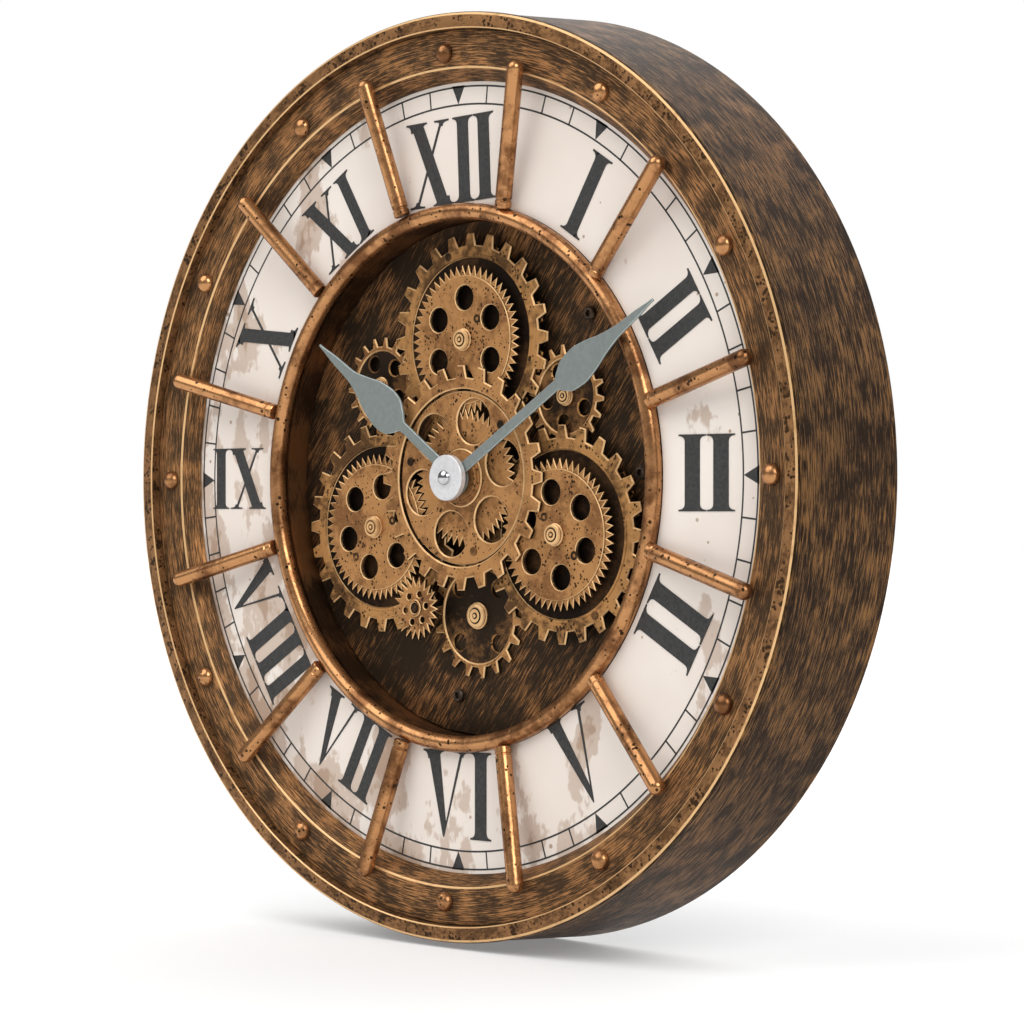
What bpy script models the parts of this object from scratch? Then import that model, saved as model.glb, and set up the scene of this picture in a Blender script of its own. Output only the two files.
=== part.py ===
"""A round wall clock: a case of aged bronze, a riveted flange, rod spokes over the dial, and turning gears.

Every piece is modelled lying on its back and hangs on one empty, which stands the clock up. In that lying
frame x runs to the right, y runs up the dial, and z is the height above the wall, towards the viewer. After
the empty's turn the dial faces -Y, +Z is up, and the origin is the middle of the back, on the wall.

Turns on the dial are clock turns: degrees clockwise from 12, seen from the front. All lengths are metres.
"""

import math

import bmesh
import bpy
from mathutils import Matrix

# Fits
GAP = 0.0003                 # air between pieces that touch, and in running fits
OVERLAP = 0.0002             # how far two shapes of one piece run into each other before they are joined

# Case
CLOCK_R = 0.150              # outside of the rim
UNIT = CLOCK_R / 150         # the face is laid out in these units, each a millimetre at this size
CASE_DEPTH = 0.045           # wall to the rim's face
WALL = 0.003                 # metal of the drum
FLARE = 0.0019               # how much wider the drum is at the wall
RIM_BAND = 0.0053            # width of the rim's face
RIM_T = 0.0027
RIM_CHAMFER = 0.0014
LEDGE_T = 0.002              # the drum's shelves and the rim's ledge
DIAL_SHELF = 0.009           # how far the shelf under the dial reaches in
PANEL_LIP = 0.0075           # how far the lip before the rear panel reaches in

# Flange and rivets
FLANGE_SET_BACK = 0.0034     # behind the rim's face
FLANGE_T = 0.002
FLANGE_INNER_R = 132.4 * UNIT
SKIRT_LEAN = 0.004           # the skirt's foot stands this far inside its top
RIVET_COUNT = 12
RIVET_CIRCLE_R = 137.2 * UNIT
RIVET_HEAD_R = 0.0033
RIVET_DOME = 0.0026
RIVET_SHANK_R = 0.0012
RIVET_TAIL = 0.0006          # what stands out behind the ledge

# Dial, ring and spokes
DIAL_SET_BACK = 0.0093       # behind the rim's face
DIAL_T = 0.003
DIAL_OPENING_R = 89 * UNIT
RING_TUBE_R = 0.0027
RING_RISE = 0.0015           # the tube's middle stands in front of the dial's face
SPOKE_R = 0.0027
SPOKE_COUNT = 12
SPOKE_FIRST_TURN = 15.0
SPOKE_OVER_FLANGE = 0.0038   # the spoke's end lies this far over the flange

# Gear well
WELL_WALL = 0.0043
WELL_T = 0.002
WELL_FLANGE = 0.0084
WELL_SHELF_R = 66 * UNIT
SCREW_TURNS = (44.0, 89.0, 187.0, 271.0)
SCREW_CIRCLE_R = 72 * UNIT
SCREW_HEAD_R = 0.0019
SCREW_HEAD_T = 0.0016
SCREW_SHANK_R = 0.0012
SCREW_SOCKET_R = 0.001
SCREW_SOCKET_DEPTH = 0.0009
SCREW_TAIL = 0.001

# Wheel layers, from the dial's face backwards
CENTRE_RING_DEPTH = 0.0008
CENTRE_RING_T = 0.0014
RAISED_T = 0.0005            # boss plate on a satellite's fine wheel
WHEEL_T = 0.0012
PINION_LEAD = 0.0004         # the small pinion lies this far before the fine wheels
ARM_T = 0.0008
PLATE_T = 0.002
WEB_T = 0.0006

# Fine wheels: pointed teeth
FINE_CENTRES = 45 * UNIT     # centre arbor to each satellite
CENTRE_TEETH = 50
SATELLITE_TEETH = 54
PINION_TEETH = 22
FINE_ADDENDUM = 1.1 * UNIT
FINE_DEDENDUM = 2 * UNIT
SATELLITE_TURNS = {"top": 0.0, "right": 114.0, "left": 249.0}
RAISED_R = 21 * UNIT
WHEEL_HOLE_R = 4.15 * UNIT
WHEEL_HOLE_CIRCLE_R = 13.7 * UNIT
WHEEL_HOLES = 6
HOLE_TURNS = {"top": 0.0, "right": 351.0, "left": 13.0}

# Ring gears: broad teeth that mesh with nothing
RING_TEETH = 24
RING_TIP_R = 35 * UNIT
RING_TOOTH = 4 * UNIT
RING_EDGE_R = 27 * UNIT
CENTRE_TIP_R = 36.7 * UNIT
CENTRE_HOLE_R = 7.5 * UNIT
CENTRE_HOLE_CIRCLE_R = 19 * UNIT
CENTRE_HOLE_TURN = 15.7
CENTRE_HOLES = 6
BROAD_ROOT_SHARE = 0.6
BROAD_TIP_SHARE = 0.33

# Back steps of two satellites, and the small gears that they drive
SMALL_TEETH = 18
TOP_STEP_TEETH = 36
TOP_STEP_CENTRES = 45.7 * UNIT
TOP_STEP_ADDENDUM = 1.2 * UNIT
TOP_NECK_R = 28 * UNIT
UPPER_LEFT_BEARING = 252.2
UPPER_RIGHT_BEARING = 114.8
RIGHT_STEP_TEETH = 28
RIGHT_STEP_CENTRES = 48.5 * UNIT
RIGHT_STEP_ADDENDUM = 1.5 * UNIT
RIGHT_NECK_R = 24 * UNIT
LOWER_BEARING = 236.6
STEP_ROOT_CLEARANCE = 0.5 * UNIT
STEP_ROOT_SHARE = 0.55
STEP_TIP_SHARE = 0.22
SMALL_HOLES = {"upper_left_gear": (5, 2.6 * UNIT, 8.5 * UNIT),
               "upper_right_gear": (5, 2.6 * UNIT, 8.5 * UNIT),
               "lower_gear": (4, 2.8 * UNIT, 12.5 * UNIT)}
SMALL_HOLES_TURN = 45.0

# Arbors, bracket and pinion
ARBOR_R = 0.0025
ARBOR_RISE = 0.0012          # what stands out before a wheel
ARBOR_SHOULDER_R = 0.005
ARBOR_HEAD_R = 0.0036        # spread end behind the gear plate
ARBOR_HEAD_T = 0.0008
PINION_BEARING = 144.4       # from the left satellite
PINION_BOSS_R = 0.004
PINION_BOSS_T = 0.0006
PINION_STUD_R = 0.0015
POST_BEARING = 150.6
POST_CENTRES = 37.6 * UNIT   # from the left satellite
POST_R = 0.0019
ARM_HALF_WIDTH = 0.0022

# Centre: movement bush, sleeve, nuts and hands
MINUTE_ARBOR_R = 0.0015
TUBE_WALL = 0.0006
BUSH_WALL = 0.0012
SLEEVE_WALL = 0.002
SLEEVE_RISE = 0.0002         # before the dial's face
NUT_T = 0.0023
NUT_R = 0.008
HOUR_DEPTH = 0.0014          # back of the hour hand, before the dial's face
HOUR_T = 0.0008
HOUR_HUB_R = 0.006
HAND_SPACE = 0.0004
MINUTE_HUB_T = 0.0013
MINUTE_HUB_R = 0.0055
MINUTE_BLADE_T = 0.0007
MINUTE_LIFT = 0.0058         # how much nearer the viewer the minute hand's tip lies than its hub
CAP_R = 0.0074
CAP_T = 0.001
CAP_NIPPLE_R = 0.002
CAP_NIPPLE_RISE = 0.001
HOUR_TURN = 305.0
MINUTE_TURN = 60.0
# Half outlines, in units: distance from the axis and half width
HOUR_OUTLINE = ((4.0, 1.8), (29.5, 1.7), (32.0, 4.0), (36.0, 6.8), (40.0, 7.4),
                (46.0, 6.6), (53.0, 4.2), (60.0, 2.1), (70.0, 1.4), (79.0, 0.4))
MINUTE_OUTLINE = ((4.0, 1.8), (57.0, 1.7), (59.5, 3.4), (63.0, 5.5), (69.0, 6.2),
                  (75.0, 5.2), (82.0, 3.2), (90.0, 1.8), (98.0, 1.3), (107.0, 0.4))

# Movement, battery and motor
HOUSING_SIDE = 0.056
MOVEMENT_SPACE = 0.0047      # between the rear panel and the movement, for the knob
TUBE_REACH = 0.0023          # how far the hour tube goes into the housing
ARBOR_FOOT = 0.004           # the minute arbor stops this far before the housing's back
BAY_FLOOR = 0.001            # of the housing, before the battery
BATTERY_LENGTH = 0.0505
NUB_R = 0.00275
NUB_LENGTH = 0.001
BATTERY_Y = -0.0193
BATTERY_SINK = 0.0005        # the battery lies this far below the housing's back
KNOB_Y = -0.0072
KNOB_R = 0.0038
KNOB_T = 0.0033
KNOB_SHAFT_R = 0.0012
KNOB_REACH = 0.006
KNOB_FLUTES = 18
KNOB_LAND = 0.5              # a flute's flat, as a share of its pitch
MOTOR_SIDE = 0.024
MOTOR_REACH = 0.005          # how far the lower gear's arbor goes into the motor

# Rear panel, hatch, hanger and switch
PANEL_T = 0.003
HATCH_HALF_WIDTH = 0.030
HATCH_TOP = -0.003
HATCH_BOTTOM = -0.033
TRUNNION_R = 0.0006
TRUNNION_LENGTH = 0.002
HANGER_Y = 116 * UNIT
HANGER_WINDOW = (0.011, 0.012)
HANGER_OVERLAP = 0.006
HANGER_T = 0.0015
KEYHOLE_R = 0.0045
KEYHOLE_DROP = 0.006         # the round hole lies this far below the hanger's middle
SLOT_HALF_WIDTH = 0.0022
SLOT_RISE = 0.006
SWITCH_X = 0.060
SWITCH_Y = -0.045
SWITCH_SLOT = (0.005, 0.0025)
SWITCH_TRAVEL = 0.005
SWITCH_BASE = (0.008, 0.0045)
SWITCH_BASE_T = 0.0015
SWITCH_SET_BACK = 0.0005

# Facets
BIG_STEPS = 48
WELL_STEPS = 36
DISC_STEPS = 24
HUB_STEPS = 18
BORE_STEPS = 12
HOLE_STEPS = 8
SMALL_STEPS = 6
SHARP_ANGLE = 35.0
HEXAGON = 6
DOME_ANGLES = (0.0, 35.0, 65.0, 90.0)
ROD_END_ANGLES = (0.0, 45.0, 90.0)

# Heights above the wall that follow from the sizes
FLANGE_H = CASE_DEPTH - FLANGE_SET_BACK
DIAL_H = CASE_DEPTH - DIAL_SET_BACK
CENTRE_RING_H = DIAL_H - CENTRE_RING_DEPTH
RAISED_H = CENTRE_RING_H - CENTRE_RING_T - GAP
FINE_H = RAISED_H - RAISED_T
PINION_H = FINE_H + PINION_LEAD
ARM_H = PINION_H - WHEEL_T - GAP
RING_H = ARM_H - ARM_T - GAP
TOP_STEP_H = RING_H - WHEEL_T - GAP
RIGHT_STEP_H = TOP_STEP_H - WHEEL_T - GAP
PLATE_H = RIGHT_STEP_H - WHEEL_T - GAP
SHELF_H = PLATE_H - PLATE_T - GAP
HOUSING_H = SHELF_H
HOUSING_BACK = PANEL_T + MOVEMENT_SPACE
HOUSING_T = HOUSING_H - HOUSING_BACK
HOUR_H = DIAL_H + HOUR_DEPTH
MINUTE_H = HOUR_H + HOUR_T + HAND_SPACE
CAP_H = MINUTE_H + MINUTE_HUB_T + GAP
LEDGE_H = FLANGE_H - FLANGE_T - GAP
DIAL_SHELF_H = DIAL_H - DIAL_T - GAP
LIP_H = PANEL_T + GAP

# Radii that follow from the sizes
RIM_INNER_R = CLOCK_R - RIM_BAND
DRUM_FRONT_R = CLOCK_R - GAP
DRUM_BACK_R = CLOCK_R + FLARE
SKIRT_R = FLANGE_INNER_R + FLANGE_T
SKIRT_FOOT_R = FLANGE_INNER_R - SKIRT_LEAN
WELL_OUTER_R = DIAL_OPENING_R - GAP
WELL_INNER_R = WELL_OUTER_R - WELL_WALL
RING_R = DIAL_OPENING_R - GAP - math.sqrt(RING_TUBE_R ** 2 - RING_RISE ** 2)
TUBE_BORE_R = MINUTE_ARBOR_R + GAP
TUBE_R = TUBE_BORE_R + TUBE_WALL
BUSH_BORE_R = TUBE_R + GAP
BUSH_R = BUSH_BORE_R + BUSH_WALL
SLEEVE_BORE_R = BUSH_R + GAP
SLEEVE_R = SLEEVE_BORE_R + SLEEVE_WALL
FINE_MODULE = 2 * FINE_CENTRES / (CENTRE_TEETH + SATELLITE_TEETH)
PINION_CENTRES = FINE_MODULE * (SATELLITE_TEETH + PINION_TEETH) / 2
BATTERY_R = (HOUSING_T - BATTERY_SINK - BAY_FLOOR) / 2

# Colours: base colour, metallic, roughness
DARK_PATINA = ((0.055, 0.035, 0.022), 0.8, 0.5)
RIM_BRONZE = ((0.24, 0.14, 0.07), 0.9, 0.42)
COPPER = ((0.42, 0.20, 0.08), 1.0, 0.3)
GEAR_BRONZE = ((0.45, 0.25, 0.09), 1.0, 0.32)
DARK_BRONZE = ((0.12, 0.065, 0.03), 0.9, 0.45)
DIAL_CREAM = ((0.80, 0.70, 0.58), 0.0, 0.55)
HAND_GREY = ((0.20, 0.23, 0.22), 0.3, 0.5)
BRIGHT_STEEL = ((0.62, 0.62, 0.62), 1.0, 0.2)
DARK_STEEL = ((0.06, 0.055, 0.05), 0.9, 0.4)
BLACK_PLASTIC = ((0.02, 0.02, 0.02), 0.0, 0.5)
GREY_PLASTIC = ((0.30, 0.30, 0.30), 0.0, 0.5)
BATTERY_GREEN = ((0.05, 0.16, 0.09), 0.2, 0.35)


def polar(radius, turn):
    """The point at this radius and clock turn, in degrees."""
    angle = math.radians(turn)
    return radius * math.sin(angle), radius * math.cos(angle)


def moved(point, step):
    return point[0] + step[0], point[1] + step[1]


def evaluated_mesh(obj):
    """The object's mesh with its modifiers applied and its seams welded. The object is removed."""
    bpy.context.view_layer.update()
    source = obj.evaluated_get(bpy.context.evaluated_depsgraph_get())
    mesh = bpy.data.meshes.new_from_object(source)
    data = obj.data
    bpy.data.objects.remove(obj)
    if isinstance(data, bpy.types.Curve):
        bpy.data.curves.remove(data)
    bm = bmesh.new()
    bm.from_mesh(mesh)
    bmesh.ops.remove_doubles(bm, verts=bm.verts, dist=1e-6)
    bm.to_mesh(mesh)
    bm.free()
    return mesh


def loose_object(data):
    """An object outside the parts, used only while a shape is made."""
    obj = bpy.data.objects.new("shape", data)
    bpy.context.scene.collection.objects.link(obj)
    return obj


def turned(profile, steps, closed=True):
    """A body of revolution about z. The profile lists (radius, height), down the outer side first."""
    mesh = bpy.data.meshes.new("profile")
    count = len(profile)
    edges = [(i, i + 1) for i in range(count - 1)]
    if closed:
        edges.append((count - 1, 0))
    mesh.from_pydata([(radius, 0.0, height) for radius, height in profile], edges, [])
    obj = loose_object(mesh)
    screw = obj.modifiers.new("turn", "SCREW")
    screw.steps = steps
    screw.render_steps = steps
    screw.use_merge_vertices = True
    screw.merge_threshold = 1e-6
    return evaluated_mesh(obj)


def circle(radius, steps, centre=(0.0, 0.0)):
    return [moved(polar(radius, 360.0 * i / steps), centre) for i in range(steps)]


def capsule(start, end, half_width, steps=SMALL_STEPS):
    """The outline of a bar with round ends."""
    heading = math.degrees(math.atan2(end[0] - start[0], end[1] - start[1]))
    points = []
    for centre, first in ((end, heading - 90.0), (start, heading + 90.0)):
        points += [moved(polar(half_width, first + 180.0 * i / steps), centre) for i in range(steps + 1)]
    return points


def toothed(teeth, root_r, tip_r, root_share, tip_share, turn=0.0):
    """A wheel's outline, with one tooth's middle at the turn. The shares are of one tooth's pitch."""
    pitch = 360.0 / teeth
    points = []
    for tooth in range(teeth):
        middle = turn + tooth * pitch
        points.append(polar(root_r, middle - root_share * pitch / 2))
        if tip_share > 0.0:
            points.append(polar(tip_r, middle - tip_share * pitch / 2))
            points.append(polar(tip_r, middle + tip_share * pitch / 2))
        else:
            points.append(polar(tip_r, middle))
        if root_share < 1.0:
            points.append(polar(root_r, middle + root_share * pitch / 2))
    return points


def slab(outlines, top, thickness):
    """A flat plate under its top height. The first outline is its edge and the others are holes."""
    curve = bpy.data.curves.new("outline", "CURVE")
    curve.dimensions = "2D"
    curve.fill_mode = "BOTH"
    curve.extrude = thickness / 2
    for outline in outlines:
        spline = curve.splines.new("POLY")
        spline.points.add(len(outline) - 1)
        for point, (x, y) in zip(spline.points, outline):
            point.co = (x, y, 0.0, 1.0)
        spline.use_cyclic_u = True
    mesh = evaluated_mesh(loose_object(curve))
    for vertex in mesh.vertices:
        vertex.co.z += top - thickness / 2
    return mesh


def rod(radius, bottom, top, steps, centre=(0.0, 0.0), turn=0.0):
    """A round bar along z, with one of its edges at the turn."""
    bm = bmesh.new()
    depth = top - bottom
    bmesh.ops.create_cone(bm, cap_ends=True, segments=steps, radius1=radius, radius2=radius, depth=depth)
    bmesh.ops.rotate(bm, verts=bm.verts, matrix=Matrix.Rotation(-math.radians(turn), 3, "Z"))
    bmesh.ops.translate(bm, verts=bm.verts, vec=(centre[0], centre[1], (top + bottom) / 2))
    return mesh_of(bm)


def cross_rod(radius, left, right, y, height, steps):
    """A round bar along x."""
    bm = bmesh.new()
    depth = right - left
    bmesh.ops.create_cone(bm, cap_ends=True, segments=steps, radius1=radius, radius2=radius, depth=depth)
    for vertex in bm.verts:
        x_part, y_part, z_part = vertex.co
        vertex.co = (z_part + (left + right) / 2, y_part + y, height - x_part)
    return mesh_of(bm)


def block(left, right, low, high, bottom, top):
    """A box from its limits in x, y and z."""
    bm = bmesh.new()
    bmesh.ops.create_cube(bm, size=1.0)
    bmesh.ops.scale(bm, verts=bm.verts, vec=(right - left, high - low, top - bottom))
    middle = ((left + right) / 2, (low + high) / 2, (bottom + top) / 2)
    bmesh.ops.translate(bm, verts=bm.verts, vec=middle)
    return mesh_of(bm)


def mesh_of(bm):
    mesh = bpy.data.meshes.new("shape")
    bm.to_mesh(mesh)
    bm.free()
    return mesh


def boolean(base, others, operation):
    obj = loose_object(base)
    cutters = [loose_object(mesh) for mesh in others]
    for cutter in cutters:
        cutter.hide_render = True
        cutter.display_type = "WIRE"
        modifier = obj.modifiers.new(operation.lower(), "BOOLEAN")
        modifier.operation = operation
        modifier.solver = "EXACT"
        modifier.object = cutter
    result = evaluated_mesh(obj)
    for cutter in cutters:
        bpy.data.objects.remove(cutter)
    return result


def joined(base, *others):
    return boolean(base, others, "UNION")


def cut(base, *others):
    return boolean(base, others, "DIFFERENCE")


def finish_material(name, finish):
    """The piece's own Principled material."""
    colour, metallic, roughness = finish
    material = bpy.data.materials.new(name)
    material.use_nodes = True
    material.diffuse_color = (*colour, 1.0)
    shader = material.node_tree.nodes["Principled BSDF"]
    shader.inputs["Base Color"].default_value = (*colour, 1.0)
    shader.inputs["Metallic"].default_value = metallic
    shader.inputs["Roughness"].default_value = roughness
    return material


def piece(name, mesh, finish, centre=(0.0, 0.0), turn=0.0):
    """Puts a mesh into the clock as a named piece, on its axis and at its clock turn."""
    if not mesh.materials:
        mesh.name = name
        mesh.materials.append(finish_material(name + "_finish", finish))
        mesh.shade_smooth()
        mesh.set_sharp_from_angle(angle=math.radians(SHARP_ANGLE))
    obj = bpy.data.objects.new(name, mesh)
    bpy.data.collections[COLLECTION].objects.link(obj)
    obj.parent = bpy.data.objects[FRAME]
    obj.location = (centre[0], centre[1], 0.0)
    obj.rotation_euler = (0.0, 0.0, -math.radians(turn))
    return obj


def make_case():
    """The drum with its dial shelf and rear lip, and the rim with its ledge behind the flange."""
    front = CASE_DEPTH - RIM_T - GAP
    inner_front = DRUM_FRONT_R - WALL
    inner_back = DRUM_BACK_R - WALL

    def inner_at(height):
        """The drum's inside tapers from the wall to the rim."""
        return inner_back + (inner_front - inner_back) * height / front

    shelf_r = inner_front - DIAL_SHELF
    lip_r = inner_front - PANEL_LIP + FLARE
    drum = [(DRUM_FRONT_R, front), (DRUM_BACK_R, 0.0), (inner_back, 0.0), (inner_at(LIP_H), LIP_H),
            (lip_r, LIP_H), (lip_r, LIP_H + LEDGE_T), (inner_at(LIP_H + LEDGE_T), LIP_H + LEDGE_T),
            (inner_at(DIAL_SHELF_H - LEDGE_T), DIAL_SHELF_H - LEDGE_T), (shelf_r, DIAL_SHELF_H - LEDGE_T),
            (shelf_r, DIAL_SHELF_H), (inner_at(DIAL_SHELF_H), DIAL_SHELF_H), (inner_front, front)]
    piece("case_drum", turned(drum, BIG_STEPS), DARK_PATINA)

    spigot_r = inner_front - GAP
    ledge_r = SKIRT_R + GAP
    rim_back = CASE_DEPTH - RIM_T
    ledge_back = LEDGE_H - LEDGE_T
    rim = [(CLOCK_R - RIM_CHAMFER, CASE_DEPTH), (CLOCK_R, CASE_DEPTH - RIM_CHAMFER), (CLOCK_R, rim_back),
           (spigot_r, rim_back), (spigot_r, ledge_back), (ledge_r, ledge_back), (ledge_r, LEDGE_H),
           (RIM_INNER_R, LEDGE_H), (RIM_INNER_R, CASE_DEPTH)]
    holes = rivet_holes(LEDGE_H - 2 * LEDGE_T, LEDGE_H + LEDGE_T)
    piece("front_rim", cut(turned(rim, BIG_STEPS), *holes), RIM_BRONZE)
    return inner_front, inner_at(0.0)


def rivet_turns():
    return [360.0 * i / RIVET_COUNT for i in range(RIVET_COUNT)]


def rivet_holes(bottom, top):
    """Cutters for the shanks, each with a flat side towards the middle."""
    half_step = 180.0 / SMALL_STEPS
    return [rod(RIVET_SHANK_R + GAP, bottom, top, SMALL_STEPS, polar(RIVET_CIRCLE_R, turn), turn + half_step)
            for turn in rivet_turns()]


def make_flange():
    """The riveted flange, with the leaning skirt that stands on the dial."""
    outer_r = RIM_INNER_R - GAP
    profile = [(outer_r, FLANGE_H), (outer_r, FLANGE_H - FLANGE_T), (SKIRT_R, FLANGE_H - FLANGE_T),
               (SKIRT_FOOT_R + FLANGE_T, DIAL_H + GAP), (SKIRT_FOOT_R, DIAL_H + GAP),
               (FLANGE_INNER_R, FLANGE_H)]
    holes = rivet_holes(LEDGE_H - GAP, FLANGE_H + FLANGE_T)
    piece("flange_ring", cut(turned(profile, BIG_STEPS), *holes), DARK_PATINA)

    seat = FLANGE_H + GAP
    tail = LEDGE_H - LEDGE_T - RIVET_TAIL
    dome = [(RIVET_HEAD_R * math.sin(math.radians(a)), seat + RIVET_DOME * math.cos(math.radians(a)))
            for a in DOME_ANGLES]
    shank = [(RIVET_SHANK_R, seat), (RIVET_SHANK_R, tail), (0.0, tail)]
    rivet = turned(dome + shank, HOLE_STEPS, closed=False)
    for index, turn in enumerate(rivet_turns()):
        piece(f"rivet_{index + 1:02d}", rivet, COPPER, polar(RIVET_CIRCLE_R, turn), turn)


def make_dial(dial_r):
    """The dial plate, the tube ring round its opening, and the rod spokes from the ring to the flange."""
    outlines = (circle(dial_r, BIG_STEPS), circle(DIAL_OPENING_R, BIG_STEPS))
    piece("dial_plate", slab(outlines, DIAL_H, DIAL_T), DIAL_CREAM)

    ring_h = DIAL_H + RING_RISE
    tube = [(RING_R + RING_TUBE_R * math.sin(2 * math.pi * i / HOLE_STEPS),
             ring_h + RING_TUBE_R * math.cos(2 * math.pi * i / HOLE_STEPS)) for i in range(HOLE_STEPS)]
    piece("inner_ring", turned(tube, BIG_STEPS), COPPER)

    # The spoke's underside clears the dial at its inner end and lies over the flange's inner edge.
    start_h = DIAL_H + GAP + SPOKE_R
    reach = FLANGE_INNER_R - (RING_R + RING_TUBE_R + GAP)
    edge = math.hypot(reach, FLANGE_H - start_h)
    slope = math.atan2(FLANGE_H - start_h, reach) + math.asin((SPOKE_R + GAP) / edge)
    start_r = RING_R + (RING_TUBE_R + GAP - (start_h - ring_h) * math.sin(slope)) / math.cos(slope)
    length = (FLANGE_INNER_R + SPOKE_OVER_FLANGE - start_r) / math.cos(slope)
    dome = [(SPOKE_R * math.sin(math.radians(a)), length - SPOKE_R * (1.0 - math.cos(math.radians(a))))
            for a in ROD_END_ANGLES]
    spoke = turned(dome + [(SPOKE_R, 0.0), (0.0, 0.0)], HOLE_STEPS, closed=False)
    for index in range(SPOKE_COUNT):
        turn = SPOKE_FIRST_TURN + 360.0 * index / SPOKE_COUNT
        obj = piece(f"spoke_{index + 1:02d}", spoke, COPPER, polar(start_r, turn), turn)
        obj.location.z = start_h
        obj.rotation_euler.x = slope - math.pi / 2


def make_well():
    """The well behind the dial's opening, the gear plate on its shelf, and the four screws."""
    top = DIAL_H + RING_RISE - RING_TUBE_R - GAP
    flange_top = DIAL_H - DIAL_T - GAP
    flange_r = WELL_OUTER_R + WELL_FLANGE
    bottom = SHELF_H - WELL_T
    profile = [(WELL_OUTER_R, top), (WELL_OUTER_R, flange_top), (flange_r, flange_top),
               (flange_r, flange_top - WELL_T), (WELL_OUTER_R, flange_top - WELL_T), (WELL_OUTER_R, bottom),
               (WELL_SHELF_R, bottom), (WELL_SHELF_R, SHELF_H), (WELL_INNER_R, SHELF_H), (WELL_INNER_R, top)]
    screw_centres = [polar(SCREW_CIRCLE_R, turn) for turn in SCREW_TURNS]
    holes = [rod(SCREW_SHANK_R + GAP, bottom - WELL_T, SHELF_H + WELL_T, SMALL_STEPS, centre)
             for centre in screw_centres]
    piece("gear_well", cut(turned(profile, WELL_STEPS), *holes), DARK_BRONZE)

    holes = [circle(SCREW_SHANK_R + GAP, SMALL_STEPS, centre) for centre in screw_centres]
    holes += [circle(ARBOR_R + GAP, BORE_STEPS, centre) for centre in arbor_centres().values()]
    holes.append(circle(SLEEVE_BORE_R, HUB_STEPS))
    plate = slab([circle(WELL_INNER_R - GAP, WELL_STEPS)] + holes, PLATE_H, PLATE_T)
    left = satellite_centre("left")
    post = moved(left, polar(POST_CENTRES, POST_BEARING))
    pinion = pinion_centre()
    bracket_post = rod(POST_R, PLATE_H - OVERLAP, ARM_H - OVERLAP, BORE_STEPS, post)
    arm = slab([capsule(post, pinion, ARM_HALF_WIDTH)], ARM_H, ARM_T)
    stud = rod(PINION_STUD_R, ARM_H - OVERLAP, PINION_H + PINION_BOSS_T, BORE_STEPS, pinion)
    piece("gear_plate", joined(plate, bracket_post, arm, stud), DARK_BRONZE)

    seat = PLATE_H + GAP
    head = [(0.0, seat + SCREW_HEAD_T), (SCREW_HEAD_R, seat + SCREW_HEAD_T), (SCREW_HEAD_R, seat),
            (SCREW_SHANK_R, seat), (SCREW_SHANK_R, bottom - SCREW_TAIL), (0.0, bottom - SCREW_TAIL)]
    socket = rod(SCREW_SOCKET_R, seat + SCREW_HEAD_T - SCREW_SOCKET_DEPTH, seat + 2 * SCREW_HEAD_T, HEXAGON)
    screw = cut(turned(head, SMALL_STEPS, closed=False), socket)
    for index, centre in enumerate(screw_centres):
        piece(f"plate_screw_{index + 1}", screw, DARK_STEEL, centre)


def satellite_centre(side):
    return polar(FINE_CENTRES, SATELLITE_TURNS[side])


def pinion_centre():
    return moved(satellite_centre("left"), polar(PINION_CENTRES, PINION_BEARING))


def arbor_centres():
    """Where arbors pass through the gear plate, the centre apart."""
    centres = {side: satellite_centre(side) for side in SATELLITE_TURNS}
    centres["upper_left_gear"] = moved(centres["top"], polar(TOP_STEP_CENTRES, UPPER_LEFT_BEARING))
    centres["upper_right_gear"] = moved(centres["top"], polar(TOP_STEP_CENTRES, UPPER_RIGHT_BEARING))
    centres["lower_gear"] = moved(centres["right"], polar(RIGHT_STEP_CENTRES, LOWER_BEARING))
    return centres


def in_mesh(driver_turn, driver_teeth, bearing, teeth):
    """The turn that puts a wheel's teeth into the gaps of a driver, which sees it at this bearing."""
    share = ((bearing - driver_turn) * driver_teeth / 360.0) % 1.0
    return bearing + 180.0 - (0.5 - share) * 360.0 / teeth


def fine_outline(teeth, turn):
    pitch_r = FINE_MODULE * teeth / 2
    return toothed(teeth, pitch_r - FINE_DEDENDUM, pitch_r + FINE_ADDENDUM, 1.0, 0.0, turn)


def step_outline(teeth, module, addendum, turn=0.0):
    pitch_r = module * teeth / 2
    root_r = pitch_r - addendum - STEP_ROOT_CLEARANCE
    return toothed(teeth, root_r, pitch_r + addendum, STEP_ROOT_SHARE, STEP_TIP_SHARE, turn)


def ring_of_holes(count, radius, circle_r, first_turn, steps):
    return [circle(radius, steps, polar(circle_r, first_turn + 360.0 * i / count)) for i in range(count)]


def make_centre_gear():
    """The ring gear behind the hands and the fine wheel on one sleeve, which turns on the movement's bush."""
    outline = toothed(RING_TEETH, CENTRE_TIP_R - RING_TOOTH, CENTRE_TIP_R, BROAD_ROOT_SHARE, BROAD_TIP_SHARE)
    holes = ring_of_holes(CENTRE_HOLES, CENTRE_HOLE_R, CENTRE_HOLE_CIRCLE_R, CENTRE_HOLE_TURN, BORE_STEPS)
    bore = circle(SLEEVE_R + GAP, HUB_STEPS)
    piece("centre_ring_gear", slab([outline, bore] + holes, CENTRE_RING_H, CENTRE_RING_T), GEAR_BRONZE)

    wheel = slab([fine_outline(CENTRE_TEETH, 0.0)], FINE_H, WHEEL_T)
    sleeve_bottom = PLATE_H + GAP + NUT_T + GAP
    sleeve = rod(SLEEVE_R, sleeve_bottom, DIAL_H + SLEEVE_RISE, HUB_STEPS)
    bore = rod(SLEEVE_BORE_R, sleeve_bottom - GAP, DIAL_H + 2 * SLEEVE_RISE, HUB_STEPS)
    piece("centre_fine_wheel", cut(joined(wheel, sleeve), bore), GEAR_BRONZE)


def arbor(top, bottom):
    return rod(ARBOR_R, bottom, top, BORE_STEPS)


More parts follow.
